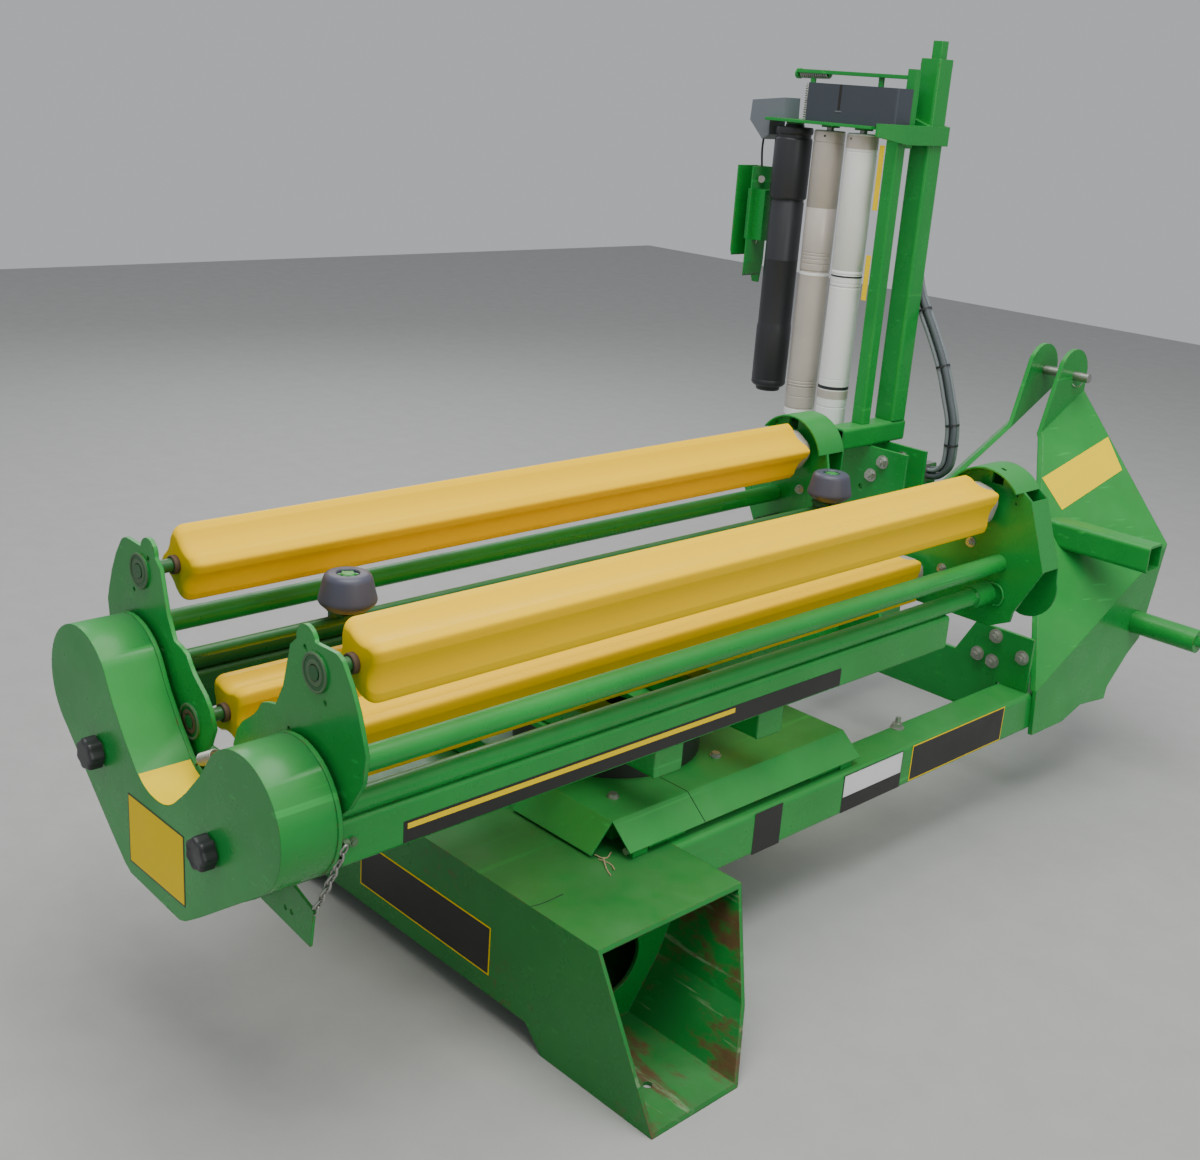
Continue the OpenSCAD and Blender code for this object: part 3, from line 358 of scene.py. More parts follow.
BODY_OF = {node: body for body, nodes in frame["record"]["behaviour"]["bodies"].items() for node in nodes}
SMOOTHED = (
    "rear_guard", "rear_plate_right", "rear_plate_left", "front_plate_right", "front_plate_left",
    "side_tube_right", "side_tube_left", "rail_right", "rail_left", "cone_bar", "table_ends",
    "headstock_right", "headstock_left", "lower_link_bar", "slew_ring", "hinge_knuckles",
    "cylinder_barrel", "cylinder_rod", "flag_plate", "hose_connector", "top_pin", "mast_bracket",
    "table_hub")
# Millimetres, then degrees
COPY_MERGE = 0.02
FLAT_ANGLE = 0.3
SHARP_ANGLE = 32


def smooth_copies():
    """Smooth-shaded copies of the bent and turned nodes, so that their arcs show no facets."""
    for name in SMOOTHED:
        source = cad_nodes[name]
        bm = bmesh.new()
        bm.from_mesh(source.data)
        bmesh.ops.transform(bm, matrix=source.matrix_world, verts=bm.verts)
        bmesh.ops.remove_doubles(bm, verts=bm.verts, dist=COPY_MERGE * MM)
        if name.startswith("rear_plate"):
            flatten_flanges(bm)
        if name == "table_hub":
            shorten_cross_tubes(bm)
        bmesh.ops.dissolve_limit(bm, angle_limit=math.radians(FLAT_ANGLE), verts=bm.verts, edges=bm.edges)
        mesh = bpy.data.meshes.new(name + "_smooth")
        bm.to_mesh(mesh)
        bm.free()
        mesh.shade_smooth()
        mesh.set_sharp_from_angle(angle=math.radians(SHARP_ANGLE))
        piece = bpy.data.objects.new(name + "_smooth", mesh)
        bpy.context.scene.collection.objects.link(piece)
        mesh.materials.append(MATERIALS[FINISH_OF.get(name, "green")])
        weighted = piece.modifiers.new("flat faces stay flat", "WEIGHTED_NORMAL")
        weighted.keep_sharp = True
        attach(piece, BODY_OF[name])
        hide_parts(name)


def shorten_cross_tubes(bm):
    """The cross tubes' ends drawn in to the middle of the rails, and closed with a plate each."""
    ends = [vert for vert in bm.verts if abs(vert.co.x - SPIN.x) > CROSS_END * MM]
    low = min(vert.co.z for vert in ends) / MM
    high = max(vert.co.z for vert in ends) / MM
    for vert in ends:
        vert.co.x = SPIN.x + math.copysign(CROSS_END * MM, vert.co.x - SPIN.x)
    cap_t, cap_wide, cap_high = 4, 76, high - low - 4
    for side in (-1, 1):
        for y in (-CROSS_TUBE_Y, CROSS_TUBE_Y):
            middle = at(side * (CROSS_END - 1), y, (low + high) / 2)
            size = Matrix.Diagonal((cap_t * MM, cap_wide * MM, cap_high * MM, 1))
            bmesh.ops.create_cube(bm, size=1, matrix=Matrix.Translation(middle) @ size)


def flatten_flanges(bm):
    """The bearing flanges on a rear plate drawn in and nearly flush, as the real ones are."""
    for vert in bm.verts:
        place = (vert.co - SPIN) / MM
        for x, z in (UPPER, LOWER):
            spoke = Vector((abs(place.x) - x, 0, place.z - z))
            if place.y < FLANGE_FOOT and FLANGE_SPAN[0] < spoke.length < FLANGE_SPAN[1]:
                spoke *= FLANGE_RADIUS / spoke.length
                place.x = math.copysign(x + spoke.x, place.x)
                place.z = z + spoke.z
        place.y = max(place.y, -BEARING_FACE)
        vert.co = at(*place)


# Building pieces: places are millimetres from the spin axis until a piece is finished

TO_FRAME = Matrix.Translation(SPIN) @ Matrix.Scale(MM, 4)
PIECE_MERGE = 0.01
WASHER = 2.5
PLATE_T = 0.3
PLATE_LIFT = 0.2
COIL_STEPS = 12


def finish_piece(name, bm, material, body, smooth=None, replaces=(), loose=False):
    """The finished piece: normals outward, moved into the frame, riding on its body."""
    if not loose:
        bmesh.ops.remove_doubles(bm, verts=bm.verts, dist=PIECE_MERGE)
    bmesh.ops.recalc_face_normals(bm, faces=bm.faces)
    bmesh.ops.transform(bm, matrix=TO_FRAME, verts=bm.verts)
    mesh = bpy.data.meshes.new(name)
    bm.to_mesh(mesh)
    bm.free()
    if smooth is not None:
        mesh.shade_smooth()
        mesh.set_sharp_from_angle(angle=math.radians(smooth))
    piece = bpy.data.objects.new(name, mesh)
    bpy.context.scene.collection.objects.link(piece)
    piece.data.materials.append(MATERIALS[material])
    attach(piece, body)
    if replaces:
        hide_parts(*replaces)
    return piece


def aimed(direction):
    """Turns +Z to direction."""
    return Vector(direction).to_track_quat("Z", "Y").to_matrix().to_4x4()


def add_round(bm, place, direction, length, radius, end_radius=None, sides=24):
    """A cylinder or cone that starts at place and runs along direction."""
    middle = Vector(place) + Vector(direction).normalized() * length / 2
    return bmesh.ops.create_cone(
        bm, cap_ends=True, segments=sides, radius1=radius, radius2=radius if end_radius is None else end_radius,
        depth=length, matrix=Matrix.Translation(middle) @ aimed(direction))["verts"]


def add_box(bm, low, high):
    """A box between two corners."""
    low, high = Vector(low), Vector(high)
    size = Matrix.Diagonal((*(high - low), 1))
    return bmesh.ops.create_cube(bm, size=1, matrix=Matrix.Translation((low + high) / 2) @ size)["verts"]


def add_plate(bm, corners, lift):
    """A plate whose face has these corners, lifted by the vector lift."""
    verts = [bm.verts.new(corner) for corner in corners]
    face = bm.faces.new(verts)
    grown = bmesh.ops.extrude_face_region(bm, geom=[face])
    bmesh.ops.translate(bm, vec=lift, verts=[v for v in grown["geom"] if isinstance(v, bmesh.types.BMVert)])


def add_bolt(bm, place, direction, across, head, stud):
    """A hexagon head on its washer, with the end of the stud standing out."""
    direction = Vector(direction).normalized()
    add_round(bm, place, direction, WASHER, across * 0.78, sides=24)
    add_round(bm, Vector(place) + direction * WASHER, direction, head, across * 0.577, sides=6)
    if stud:
        add_round(bm, Vector(place) + direction * (WASHER + head), direction, stud, across * 0.3, sides=12)


def bolt_group(name, body, places, direction, across, head, stud=6):
    """Bolts of one size in one piece, all with their heads towards direction."""
    bm = bmesh.new()
    for place in places:
        add_bolt(bm, place, direction, across, head, stud)
    finish_piece(name, bm, "bolt", body, smooth=35, loose=True)


def lathe(name, rings, place, axis, material, body, replaces=(), steps=40, smooth=40):
    """A turned piece: rings are (radius, height) along axis from place."""
    bm = bmesh.new()
    verts = [bm.verts.new((radius, 0, height)) for radius, height in rings]
    edges = [bm.edges.new(pair) for pair in zip(verts, verts[1:])]
    bmesh.ops.spin(
        bm, geom=verts + edges, cent=(0, 0, 0), axis=(0, 0, 1), angle=math.tau, steps=steps, use_merge=True)
    bmesh.ops.remove_doubles(bm, verts=bm.verts, dist=PIECE_MERGE)
    bmesh.ops.transform(bm, matrix=Matrix.Translation(place) @ aimed(axis), verts=bm.verts)
    return finish_piece(name, bm, material, body, smooth=smooth, replaces=replaces)


def tube(name, points, radius, material, body, sides=5, cyclic=False, replaces=()):
    """A round bar or hose through points, smooth between them."""
    curve = bpy.data.curves.new(name, "CURVE")
    curve.dimensions = "3D"
    curve.bevel_depth = radius * MM
    curve.bevel_resolution = sides
    curve.use_fill_caps = True
    spline = curve.splines.new("BEZIER")
    spline.bezier_points.add(len(points) - 1)
    for knot, point in zip(spline.bezier_points, points):
        knot.co = at(*point)
        knot.handle_left_type = knot.handle_right_type = "AUTO"
    spline.use_cyclic_u = cyclic
    piece = bpy.data.objects.new(name, curve)
    bpy.context.scene.collection.objects.link(piece)
    curve.materials.append(MATERIALS[material])
    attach(piece, body)
    if replaces:
        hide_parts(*replaces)
    return piece


# Blank plates

def lifted(corner, normal, reach):
    """corner moved along normal onto the plane at reach from the spin axis."""
    normal = Vector(normal).normalized()
    return Vector(corner) + normal * (reach - Vector(corner).dot(normal))


def blank_plate(name, corners, normal, body, layers):
    """Layers of thin plate on a face: (material, margin) from the bottom up."""
    corners = [Vector(corner) for corner in corners]
    normal = Vector(normal).normalized()
    middle = sum(corners, Vector()) / 4
    wide = (corners[1] - corners[0]).normalized()
    high = (corners[3] - corners[0]).normalized()
    for number, (material, margin) in enumerate(layers):
        bm = bmesh.new()
        lift = normal * (PLATE_LIFT + PLATE_T * number)
        inner = []
        for corner in corners:
            inward = middle - corner
            step = wide * math.copysign(margin, inward.dot(wide)) + high * math.copysign(margin, inward.dot(high))
            inner.append(corner + step + lift)
        add_plate(bm, inner, normal * PLATE_T)
        finish_piece(f"{name}_{number}", bm, material, body)


def rear_plate(name, y, across, height, body, layers):
    """A blank plate on a face that looks to the rear."""
    (x0, x1), (z0, z1) = across, height
    blank_plate(name, [(x0, y, z0), (x1, y, z0), (x1, y, z1), (x0, y, z1)], (0, -1, 0), body, layers)


def make_plates():
    """Every plate of the machine, left blank: panels, stripes and yellow labels."""
    bordered = (("plate_yellow", 0), ("plate_black", 3))
    white = (("plate_white", 0), ("plate_white", 1))
    black = (("plate_black", 0),)
    rear_plate("rear_panel", -FOOT_BACK, (-174, 240), (88, 190), "base", bordered)
    for name, x, along, height, body, layers in (
            ("beam_panel", BEAM_OUT, (645, 1033), (195, 285), "base", bordered),
            ("beam_label", BEAM_OUT, (390, 609), (192, 283), "base", black),
            ("beam_label_white", BEAM_OUT, (392, 607), (229, 282), "base", white),
            ("beam_sign", BEAM_OUT, (94, 182), (189, 284), "base", black),
            ("rail_strip", RAIL_OUT, (-790, 342), (506, 545), "table", black),
            ("rail_line", RAIL_OUT, (-782, 6), (530, 540), "table", (("plate_black", 1), ("plate_yellow", 0)))):
        (y0, y1), (z0, z1) = along, height
        blank_plate(name, [(x, y0, z0), (x, y1, z0), (x, y1, z1), (x, y0, z1)], (1, 0, 0), body, layers)
    corners = ((179, 1476, 678), (208, 1715, 763), (146, 1724, 841), (112, 1465, 751))
    blank_plate("head_label", [lifted(corner, PANEL_NORMAL, PANEL_REACH) for corner in corners],
                PANEL_NORMAL, "base", (("plate_yellow", 0),))
    rear_plate("guard_label", -GUARD_BACK, (-118, 74), (346, 478), "table",
               (("plate_black", 0), ("plate_yellow", 3)))


# Rollers, cones and film rollers

def roller_reach(angle):
    """Distance of a roller's skin from its axis: rounded corners, a crease beside each, and a hollow face."""
    c, s = abs(math.cos(angle)), abs(math.sin(angle))
    c, s = max(c, s), min(c, s)
    half = ROLLER_WIDTH / 2
    square = half / (c ** ROLLER_SQUARENESS + s ** ROLLER_SQUARENESS) ** (1 / ROLLER_SQUARENESS)
    across = half * s / c
    return square - ROLLER_HOLLOW * max(0.0, 1 - (across / ROLLER_CREASE) ** 2) / c


def make_roller(node, place, turn):
    """A four-sided moulded roller with hollow faces and a rounded rear end, on its shaft."""
    x, z = place
    half = ROLLER_WIDTH / 2
    bm = bmesh.new()
    verts = bmesh.ops.create_circle(bm, cap_ends=True, radius=1, segments=240, matrix=aimed((0, 1, 0)))["verts"]
    for vert in verts:
        reach = roller_reach(math.atan2(vert.co.z, vert.co.x)) * ROLLER_END_SHARE
        vert.co = Vector((vert.co.x * reach, ROLLER_REAR, vert.co.z * reach))
    share, y = ROLLER_END_SHARE, ROLLER_REAR
    steps = []
    for degrees in range(10, 100, 10):
        angle = math.radians(degrees)
        steps.append((1 - (1 - ROLLER_END_SHARE) * (1 - math.sin(angle)),
                      ROLLER_REAR + ROLLER_ROUND * (1 - math.cos(angle))))
    steps += [(1, ROLLER_FRONT - 2), ((half - 2) / half, ROLLER_FRONT)]
    faces = bm.faces[:]
    for next_share, next_y in steps:
        grown = bmesh.ops.extrude_face_region(bm, geom=faces)["geom"]
        ring = [item for item in grown if isinstance(item, bmesh.types.BMVert)]
        faces = [item for item in grown if isinstance(item, bmesh.types.BMFace)]
        bmesh.ops.scale(bm, vec=(next_share / share, 1, next_share / share), verts=ring)
        bmesh.ops.translate(bm, vec=(0, next_y - y, 0), verts=ring)
        share, y = next_share, next_y
    place_it = Matrix.Translation((x, 0, z)) @ Matrix.Rotation(math.radians(turn), 4, "Y")
    bmesh.ops.transform(bm, matrix=place_it, verts=bm.verts)
    finish_piece(node + "_body", bm, "yellow", node, smooth=19, replaces=(node,))
    bm = bmesh.new()
    add_round(bm, (x, -SHAFT_REAR, z), (0, 1, 0), SHAFT_REAR + ROLLER_REAR + 8, SHAFT_RADIUS)
    add_round(bm, (x, ROLLER_FRONT + 10, z), (0, 1, 0), PLATE_FRONT + 20 - ROLLER_FRONT - 10, SHAFT_RADIUS)
    # the shafts take the darker green of painted shade
    finish_piece(node + "_shaft", bm, "shaded", node, smooth=40, loose=True)
    collar = [(SHAFT_RADIUS, 0), (16, 0), (17.5, 1.5), (17.5, 10), (16, 12), (SHAFT_RADIUS, 12), (SHAFT_RADIUS, 0)]
    lathe(node + "_collar", collar, (x, ROLLER_REAR - 11, z), (0, 1, 0), "rust", node)
    make_disc(node, x, z, turn)


def make_disc(node, x, z, turn):
    """The worn end plate at a roller's front end: a thick square with round corners and a raised rim."""
    bm = bmesh.new()
    low = (-DISC_WIDTH / 2, ROLLER_FRONT - 1, -DISC_WIDTH / 2)
    add_box(bm, low, (DISC_WIDTH / 2, ROLLER_FRONT + 26, DISC_WIDTH / 2))
    upright = [e for e in bm.edges if abs(e.verts[0].co.y - e.verts[1].co.y) > 1]
    bmesh.ops.bevel(bm, geom=upright, offset=34, segments=10, profile=0.5, affect="EDGES", material=-1)
    flat = [f for f in bm.faces if abs(f.normal.y) > 0.9]
    rim = [e for f in flat for e in f.edges]
    bmesh.ops.bevel(bm, geom=rim, offset=6, segments=4, profile=0.5, affect="EDGES", material=-1)
    flat = [f for f in bm.faces if abs(f.normal.y) > 0.99 and f.calc_area() > 2000]
    bmesh.ops.inset_individual(bm, faces=flat, thickness=13, depth=-2.5)
    place_it = Matrix.Translation((x, 0, z)) @ Matrix.Rotation(math.radians(turn), 4, "Y")
    bmesh.ops.transform(bm, matrix=place_it, verts=bm.verts)
    finish_piece(node + "_disc", bm, "nylon", node, smooth=40)


def make_cone(node, x, y):
    """A rubber bale cone with rounded shoulders and a slotted hub in its top."""
    low = CONE_TOP - CONE_HEIGHT
    rings = [(0, 0), (39, 0), (42, 2), (52, 11), (54.5, 15), (55, 18), (54.5, 22), (53, 27), (46, 58), (44, 63),
             (40, 67), (35, 69), (23, 69), (21, 67), (21, 64), (0, 64)]
    lathe(node + "_body", rings, (x, y, low), (0, 0, 1), "rubber", node, replaces=(node,), steps=56)
    bm = bmesh.new()
    add_round(bm, (x, y, low + 63), (0, 0, 1), 5, 14, 12)
    for turn in range(3):
        verts = add_box(bm, (-19, -3, 63), (19, 3, 66.5))
        bmesh.ops.rotate(bm, verts=verts, cent=(0, 0, 0), matrix=Matrix.Rotation(math.pi * turn / 3, 3, "Z"))
        bmesh.ops.translate(bm, verts=verts, vec=(x, y, low))
    finish_piece(node + "_hub", bm, "green", node, smooth=35, loose=True)


def ringed(radius, low, high, grooves, chamfer=3):
    """Rings of a plain roller between two heights, with grooves (height, depth, width) cut round it."""
    rings = [(0, low), (radius - chamfer, low), (radius, low + chamfer)]
    for height, depth, width in grooves:
        rings += [(radius, height - width / 2 - 0.8), (radius - depth, height - width / 2),
                  (radius - depth, height + width / 2), (radius, height + width / 2 + 0.8)]
    return rings + [(radius, high - chamfer), (radius - chamfer, high), (0, high)]


def make_band(name, node, x, radius, low, high, material):
    """A thin ring of its own colour let into a film roller."""
    rings = [(radius, low), (radius + 0.5, low + 0.4), (radius + 0.5, high - 0.4), (radius, high)]
    lathe(name, rings, (-x, FILM_Y, 0), (0, 0, 1), material, node, steps=56)


def make_film_rollers():
    """The prestretch rollers with their ring groups, and the black guide roller with its sleeves."""
    r = FILM_DIAMETER / 2
    for node, x, material, grooves in (
            ("film_roller_white", FILM_WHITE_X, "film_white", WHITE_GROOVES),
            ("film_roller_grey", FILM_GREY_X, "film_grey", GREY_GROOVES)):
        lathe(node + "_body", ringed(r, FILM_LOW, FILM_TOP, grooves), (-x, FILM_Y, 0), (0, 0, 1), material, node,
              replaces=(node,), steps=64)
        lathe(node + "_spindle", [(0, FILM_TOP - 1), (10, FILM_TOP - 1), (10, FILM_SPINDLE), (0, FILM_SPINDLE)],
              (-x, FILM_Y, 0), (0, 0, 1), "steel", node)
    white_bands = ((898, 907, "film_black"), (872, 895, "film_grey"), (1208, 1213, "film_black"),
                   (1546, 1580, "film_grey"))
    for number, (low, high, material) in enumerate(white_bands):
        make_band(f"film_roller_white_band_{number}", "film_roller_white", FILM_WHITE_X, r, low, high, material)
    for number, (low, high) in enumerate(((800, 819), (1198, 1206))):
        make_band(f"film_roller_grey_band_{number}", "film_roller_grey", FILM_GREY_X, r, low, high, "film_white")
    foot = (-FILM_BLACK_X, FILM_Y, 0)
    lathe("film_roller_black_body", BLACK_RINGS, foot, (0, 0, 1), "film_black", "film_roller_black",
          replaces=("film_roller_black",), steps=64)
    lathe("film_roller_black_spindle", [(0, 1585), (26, 1585), (26, 1592), (12, 1594), (12, 1606), (0, 1606)],
          foot, (0, 0, 1), "dark_steel", "film_roller_black")


# Bearings, knobs, springs, chain and hoses

def make_bearings():
    """Rim, seal and race of each bearing on the rear plates, round the rollers' shafts. The rim's light grey-green
    is worn paint with a painted edge highlight; the seal's dark green is painted shade.
    """
    for side, hand in ((1, "right"), (-1, "left")):
        for (x, z), level in ((UPPER, "upper"), (LOWER, "lower")):
            name = f"bearing_{level}_{hand}"
            y = -BEARING_FACE
            # rim in worn paint with a painted edge highlight, seal in painted shade
            rim = [(28, 0), (28, 1.4), (29.5, 2.2), (31.5, 2.2), (FLANGE_RADIUS, 0.8), (FLANGE_RADIUS, 0)]
            lathe(name + "_rim", rim, (side * x, y, z), (0, -1, 0), "worn_and_highlight_green", "table")
            lathe(name + "_seal", [(22, 0), (22, 0.8), (28, 0.8), (28, 0)], (side * x, y, z), (0, -1, 0), "shaded",
                  "table")
            lathe(name + "_race", [(14, 0), (14, 1.2), (15, 1.6), (21, 1.6), (22, 1.0), (22, 0)], (side * x, y, z),
                  (0, -1, 0), "worn_and_highlight_green" if level == "upper" else "rust", "table")


def make_knob(name, x, z):
    """A moulded hand knob with seven lobes and a dished face, on its stud behind the guard."""
    bm = bmesh.new()
    verts = bmesh.ops.create_circle(bm, cap_ends=True, radius=1, segments=84, matrix=aimed((0, -1, 0)))["verts"]
    for vert in verts:
        angle = math.atan2(vert.co.z, vert.co.x)
        reach = 30 - 4.2 * (0.5 - 0.5 * math.cos(KNOB_LOBES * angle)) ** 0.8
        vert.co = Vector((vert.co.x * reach, 0, vert.co.z * reach))
    faces = bm.faces[:]
    share, depth = 1, 0
    for next_share, next_depth in ((1, 19), (0.97, 23), (0.88, 25.5), (0.70, 26), (0.55, 24.5), (0.3, 24)):
        grown = bmesh.ops.extrude_face_region(bm, geom=faces)["geom"]
        ring = [item for item in grown if isinstance(item, bmesh.types.BMVert)]
        faces = [item for item in grown if isinstance(item, bmesh.types.BMFace)]
        bmesh.ops.scale(bm, vec=(next_share / share, 1, next_share / share), verts=ring)
        bmesh.ops.translate(bm, vec=(0, depth - next_depth, 0), verts=ring)
        share, depth = next_share, next_depth
    bmesh.ops.translate(bm, vec=(x, -GUARD_BACK - 3.2, z), verts=bm.verts)
    finish_piece(name, bm, "black", "table", smooth=35)
    bm = bmesh.new()
    add_round(bm, (x, -GUARD_BACK - 0.2, z), (0, -1, 0), 3.4, 18)
    add_round(bm, (x, -GUARD_BACK - 1, z), (0, 1, 0), GUARD_BACK - PLATE_BACK + 1, 6)
    finish_piece(name + "_stud", bm, "steel", "table", smooth=35, loose=True)


def make_coil(name, place, direction, length, radius, wire, turns, body):
    """A wound spring that starts at place and runs along direction."""
    turn = aimed(direction)
    count = turns * COIL_STEPS
    points = []
    for step in range(count + 1):
        angle = math.tau * step / COIL_STEPS
        spot = Vector((radius * math.cos(angle), radius * math.sin(angle), length * step / count))
        points.append(Vector(place) + turn @ spot)
    tube(name, points, wire, "steel", body, sides=3)


def make_hoses():
    """The hose bundle: four hoses side by side with ties round them, bent into the connector."""
    route = [Vector((x, HOSE_Y, z)) for x, z in HOSE_ROUTE]
    bundle = (
        (-10.5, 3, 8.5, "hose"), (8.5, -6, 9.5, "hose"), (7, 11, 7.5, "hose_light"), (-9, -11, 6, "hose_light"))
    for number, (across, deep, radius, material) in enumerate(bundle):
        points = []
        for index, spot in enumerate(route):
            along = (route[min(index + 1, len(route) - 1)] - route[max(index - 1, 0)]).normalized()
            points.append(spot + along.cross(Vector((0, 1, 0))) * across + Vector((0, deep, 0)))
        tube(f"hose_{number}", points, radius, material, "base", sides=6,
             replaces=("hoses",) if number == 0 else ())
    for number, index in enumerate((1, 3, 5, 7, 8)):
        along = (route[index + 1] - route[index - 1]).normalized()
        rings = [(19.3, -3), (20.2, -3), (20.2, 3), (19.3, 3), (19.3, -3)]
        lathe(f"hose_tie_{number}", rings, route[index], along, "black", "base", steps=28)


def make_chain():
    """The safety chain that hangs beside the rear guard, from its pin to the flag plate."""
    first, last = Vector(CHAIN_START), Vector(CHAIN_END)
    sag = Vector((0, 0, 1)) * CHAIN_SAG * 4
    for number in range(CHAIN_LINKS):
        share = number / (CHAIN_LINKS - 1)
        middle = first.lerp(last, share) - sag * share * (1 - share)
        ahead = (last - first) - sag * (1 - 2 * share)
        frame_turn = aimed(ahead) @ Matrix.Rotation(math.pi / 2 * (number % 2), 4, "Z")
        points = []
        for x, z in ((5, -5), (5, 5), (0, 11), (-5, 5), (-5, -5), (0, -11)):
            points.append(middle + frame_turn @ Vector((x, 0, z)))
        tube(f"chain_link_{number}", points, 2.2, "steel", "table", sides=2, cyclic=True)


def make_dispenser_details():
    """Slot, springs, screws, bolts and sensor rod of the film dispenser, and the strips on its column."""
    bm = bmesh.new()
    add_box(bm, (-535, GEAR_FRONT - 0.6, 1640), (-527, GEAR_FRONT + 2, 1705))
    finish_piece("gear_slot", bm, "pad", "base")
    bm = bmesh.new()
    add_box(bm, (-541, GEAR_FRONT - 1.6, 1635), (-521, GEAR_FRONT + 1, 1638))
    finish_piece("gear_slot_lip", bm, "grey", "base")
    make_coil("gear_spring", (-652, GEAR_FRONT + 12, 1609), (0, 0, 1), 92, 5.5, 1.3, 15, "base")
    make_coil("bar_spring", (-742, 1332, 1727), (1, 0, 0.02), 95, 10, 2.6, 13, "base")
    bm = bmesh.new()
    add_round(bm, (-756, 1332, 1727), (1, 0, 0), 112, 6)
    add_round(bm, (-757, 1332, 1727), (1, 0, 0), 10, 14)
    finish_piece("bar_spring_rod", bm, "green", "base", smooth=35, loose=True)
    bm = bmesh.new()
    for x, angle in ((-FILM_WHITE_X, -100), (-FILM_GREY_X, -70)):
        a = math.radians(angle)
        spot = (x + FILM_DIAMETER / 2 * math.cos(a), FILM_Y + FILM_DIAMETER / 2 * math.sin(a), 1571)
        add_round(bm, spot, (math.cos(a), math.sin(a), 0), 0.6, 3, sides=12)
    finish_piece("cap_screws", bm, "pad", "base", smooth=35, loose=True)
    bm = bmesh.new()
    for x, low, high in ((-391, 1394, 1561), (-391, 1156, 1276)):
        add_box(bm, (x - 9, COLUMN_BACK - 0.7, low), (x + 7, COLUMN_BACK - 0.1, high))
    finish_piece("column_decals", bm, "plate_yellow", "base", loose=True)
    bm = bmesh.new()
    for x, y, z in ((-812, 1292, 1436), (-812, 1292, 1318), (-826, 1300, 1262)):
        add_round(bm, (x, y, z), (0.5, -1, 0), 16, 6)
        add_round(bm, Vector((x, y, z)) + Vector((7, -14, 0)), (0.5, -1, 0), 5, 10)
    finish_piece("latch_bolts", bm, "bolt", "base", smooth=35, loose=True)
    tube("sensor_rod", [(-822, 1290, 1556), (-826, 1292, 1520), (-824, 1296, 1466)], 3, "black", "base")


def make_guard_details():
    """The rear guard's notch label on its curved rim, its spring, and the stud and pin that hold the chain."""
    bm = bmesh.new()
    rims = []
    for y in (-GUARD_BACK + 1, -GUARD_BACK + GUARD_DEPTH - 10):
        line = []
        for x, z in NOTCH_LINE:
            line.append(bm.verts.new((x, y, z)))
        rims.append([bm.edges.new(pair) for pair in zip(line, line[1:])])
    bmesh.ops.bridge_loops(bm, edges=rims[0] + rims[1])
    grown = bmesh.ops.extrude_face_region(bm, geom=bm.faces[:])
    bmesh.ops.translate(bm, vec=(0, 0, 0.5), verts=[v for v in grown["geom"] if isinstance(v, bmesh.types.BMVert)])
    finish_piece("notch_label", bm, "plate_yellow", "table", smooth=60)
    make_coil("guard_spring", (-44, -930, 541), (0.87, 0, 0.48), 54, 10.5, 1.7, 8, "table")
    tube("guard_spring_tail", [(-44, -930, 541), (-60, -930, 527), (-80, -925, 512), (-92, -918, 512)], 2.0,
         "dark_steel", "table")
    bm = bmesh.new()
    add_round(bm, (RAIL_OUT, -888, 543), (1, 0, 0), 5, 8)
    add_round(bm, (RAIL_OUT + 5, -888, 543), (1, 0, 0), 2, 5)
    finish_piece("rail_stud", bm, "worn_and_highlight_green", "table", smooth=35, loose=True)
    bm = bmesh.new()
    add_round(bm, (358, -908, 556), (0.2, -1, 0), 12, 6)
    finish_piece("chain_pin", bm, "worn_and_highlight_green", "table", smooth=35, loose=True)


def make_seams():
    """Sheet joints of the cover and the foot, the twine on the foot, and the ring in the top pin's end."""
    y = COVER_SEAM_Y
    tube("cover_seam", [(60, y, COVER_TOP), (283, y, COVER_TOP)], 0.9, "seam", "tilt", sides=2)
    tube("cover_seam_slope", [(284, y, COVER_TOP), (COVER_EDGE[0], y, COVER_EDGE[1])], 0.9, "seam", "tilt",
         sides=2)
    tube("foot_seam", [(347, -432, FOOT_TOP), (347, -488, FOOT_TOP), (343, -506, FOOT_TOP)], 1.0, "seam", "base",
         sides=2)
    for number, points in enumerate((
            [(303, -290, 292), (318, -300, 288.5), (338, -312, 287.3), (353, -318, 287.3)],
            [(282, -293, 290), (300, -284, 287.5), (292, -259, 287.3)],
            [(296, -296, 288), (322, -290, 287.3), (344, -300, 289)])):
        tube(f"twine_{number}", points, 1.3, "twine", "base", sides=2)
    ring = [(62 + 14 * math.cos(angle), 1660 + 4 * math.sin(angle), 985 + 14 * math.sin(angle))
            for angle in (math.tau * step / 12 for step in range(12))]
    tube("pin_ring", ring, 1.8, "steel", "base", sides=3, cyclic=True)


def make_welds():
    """Weld beads where tubes, sockets and brackets meet their plates."""
    for number, (points, radius, body) in enumerate(WELDS):
        tube(f"weld_{number}", points, radius, "green", body, sides=3)


# Bolts

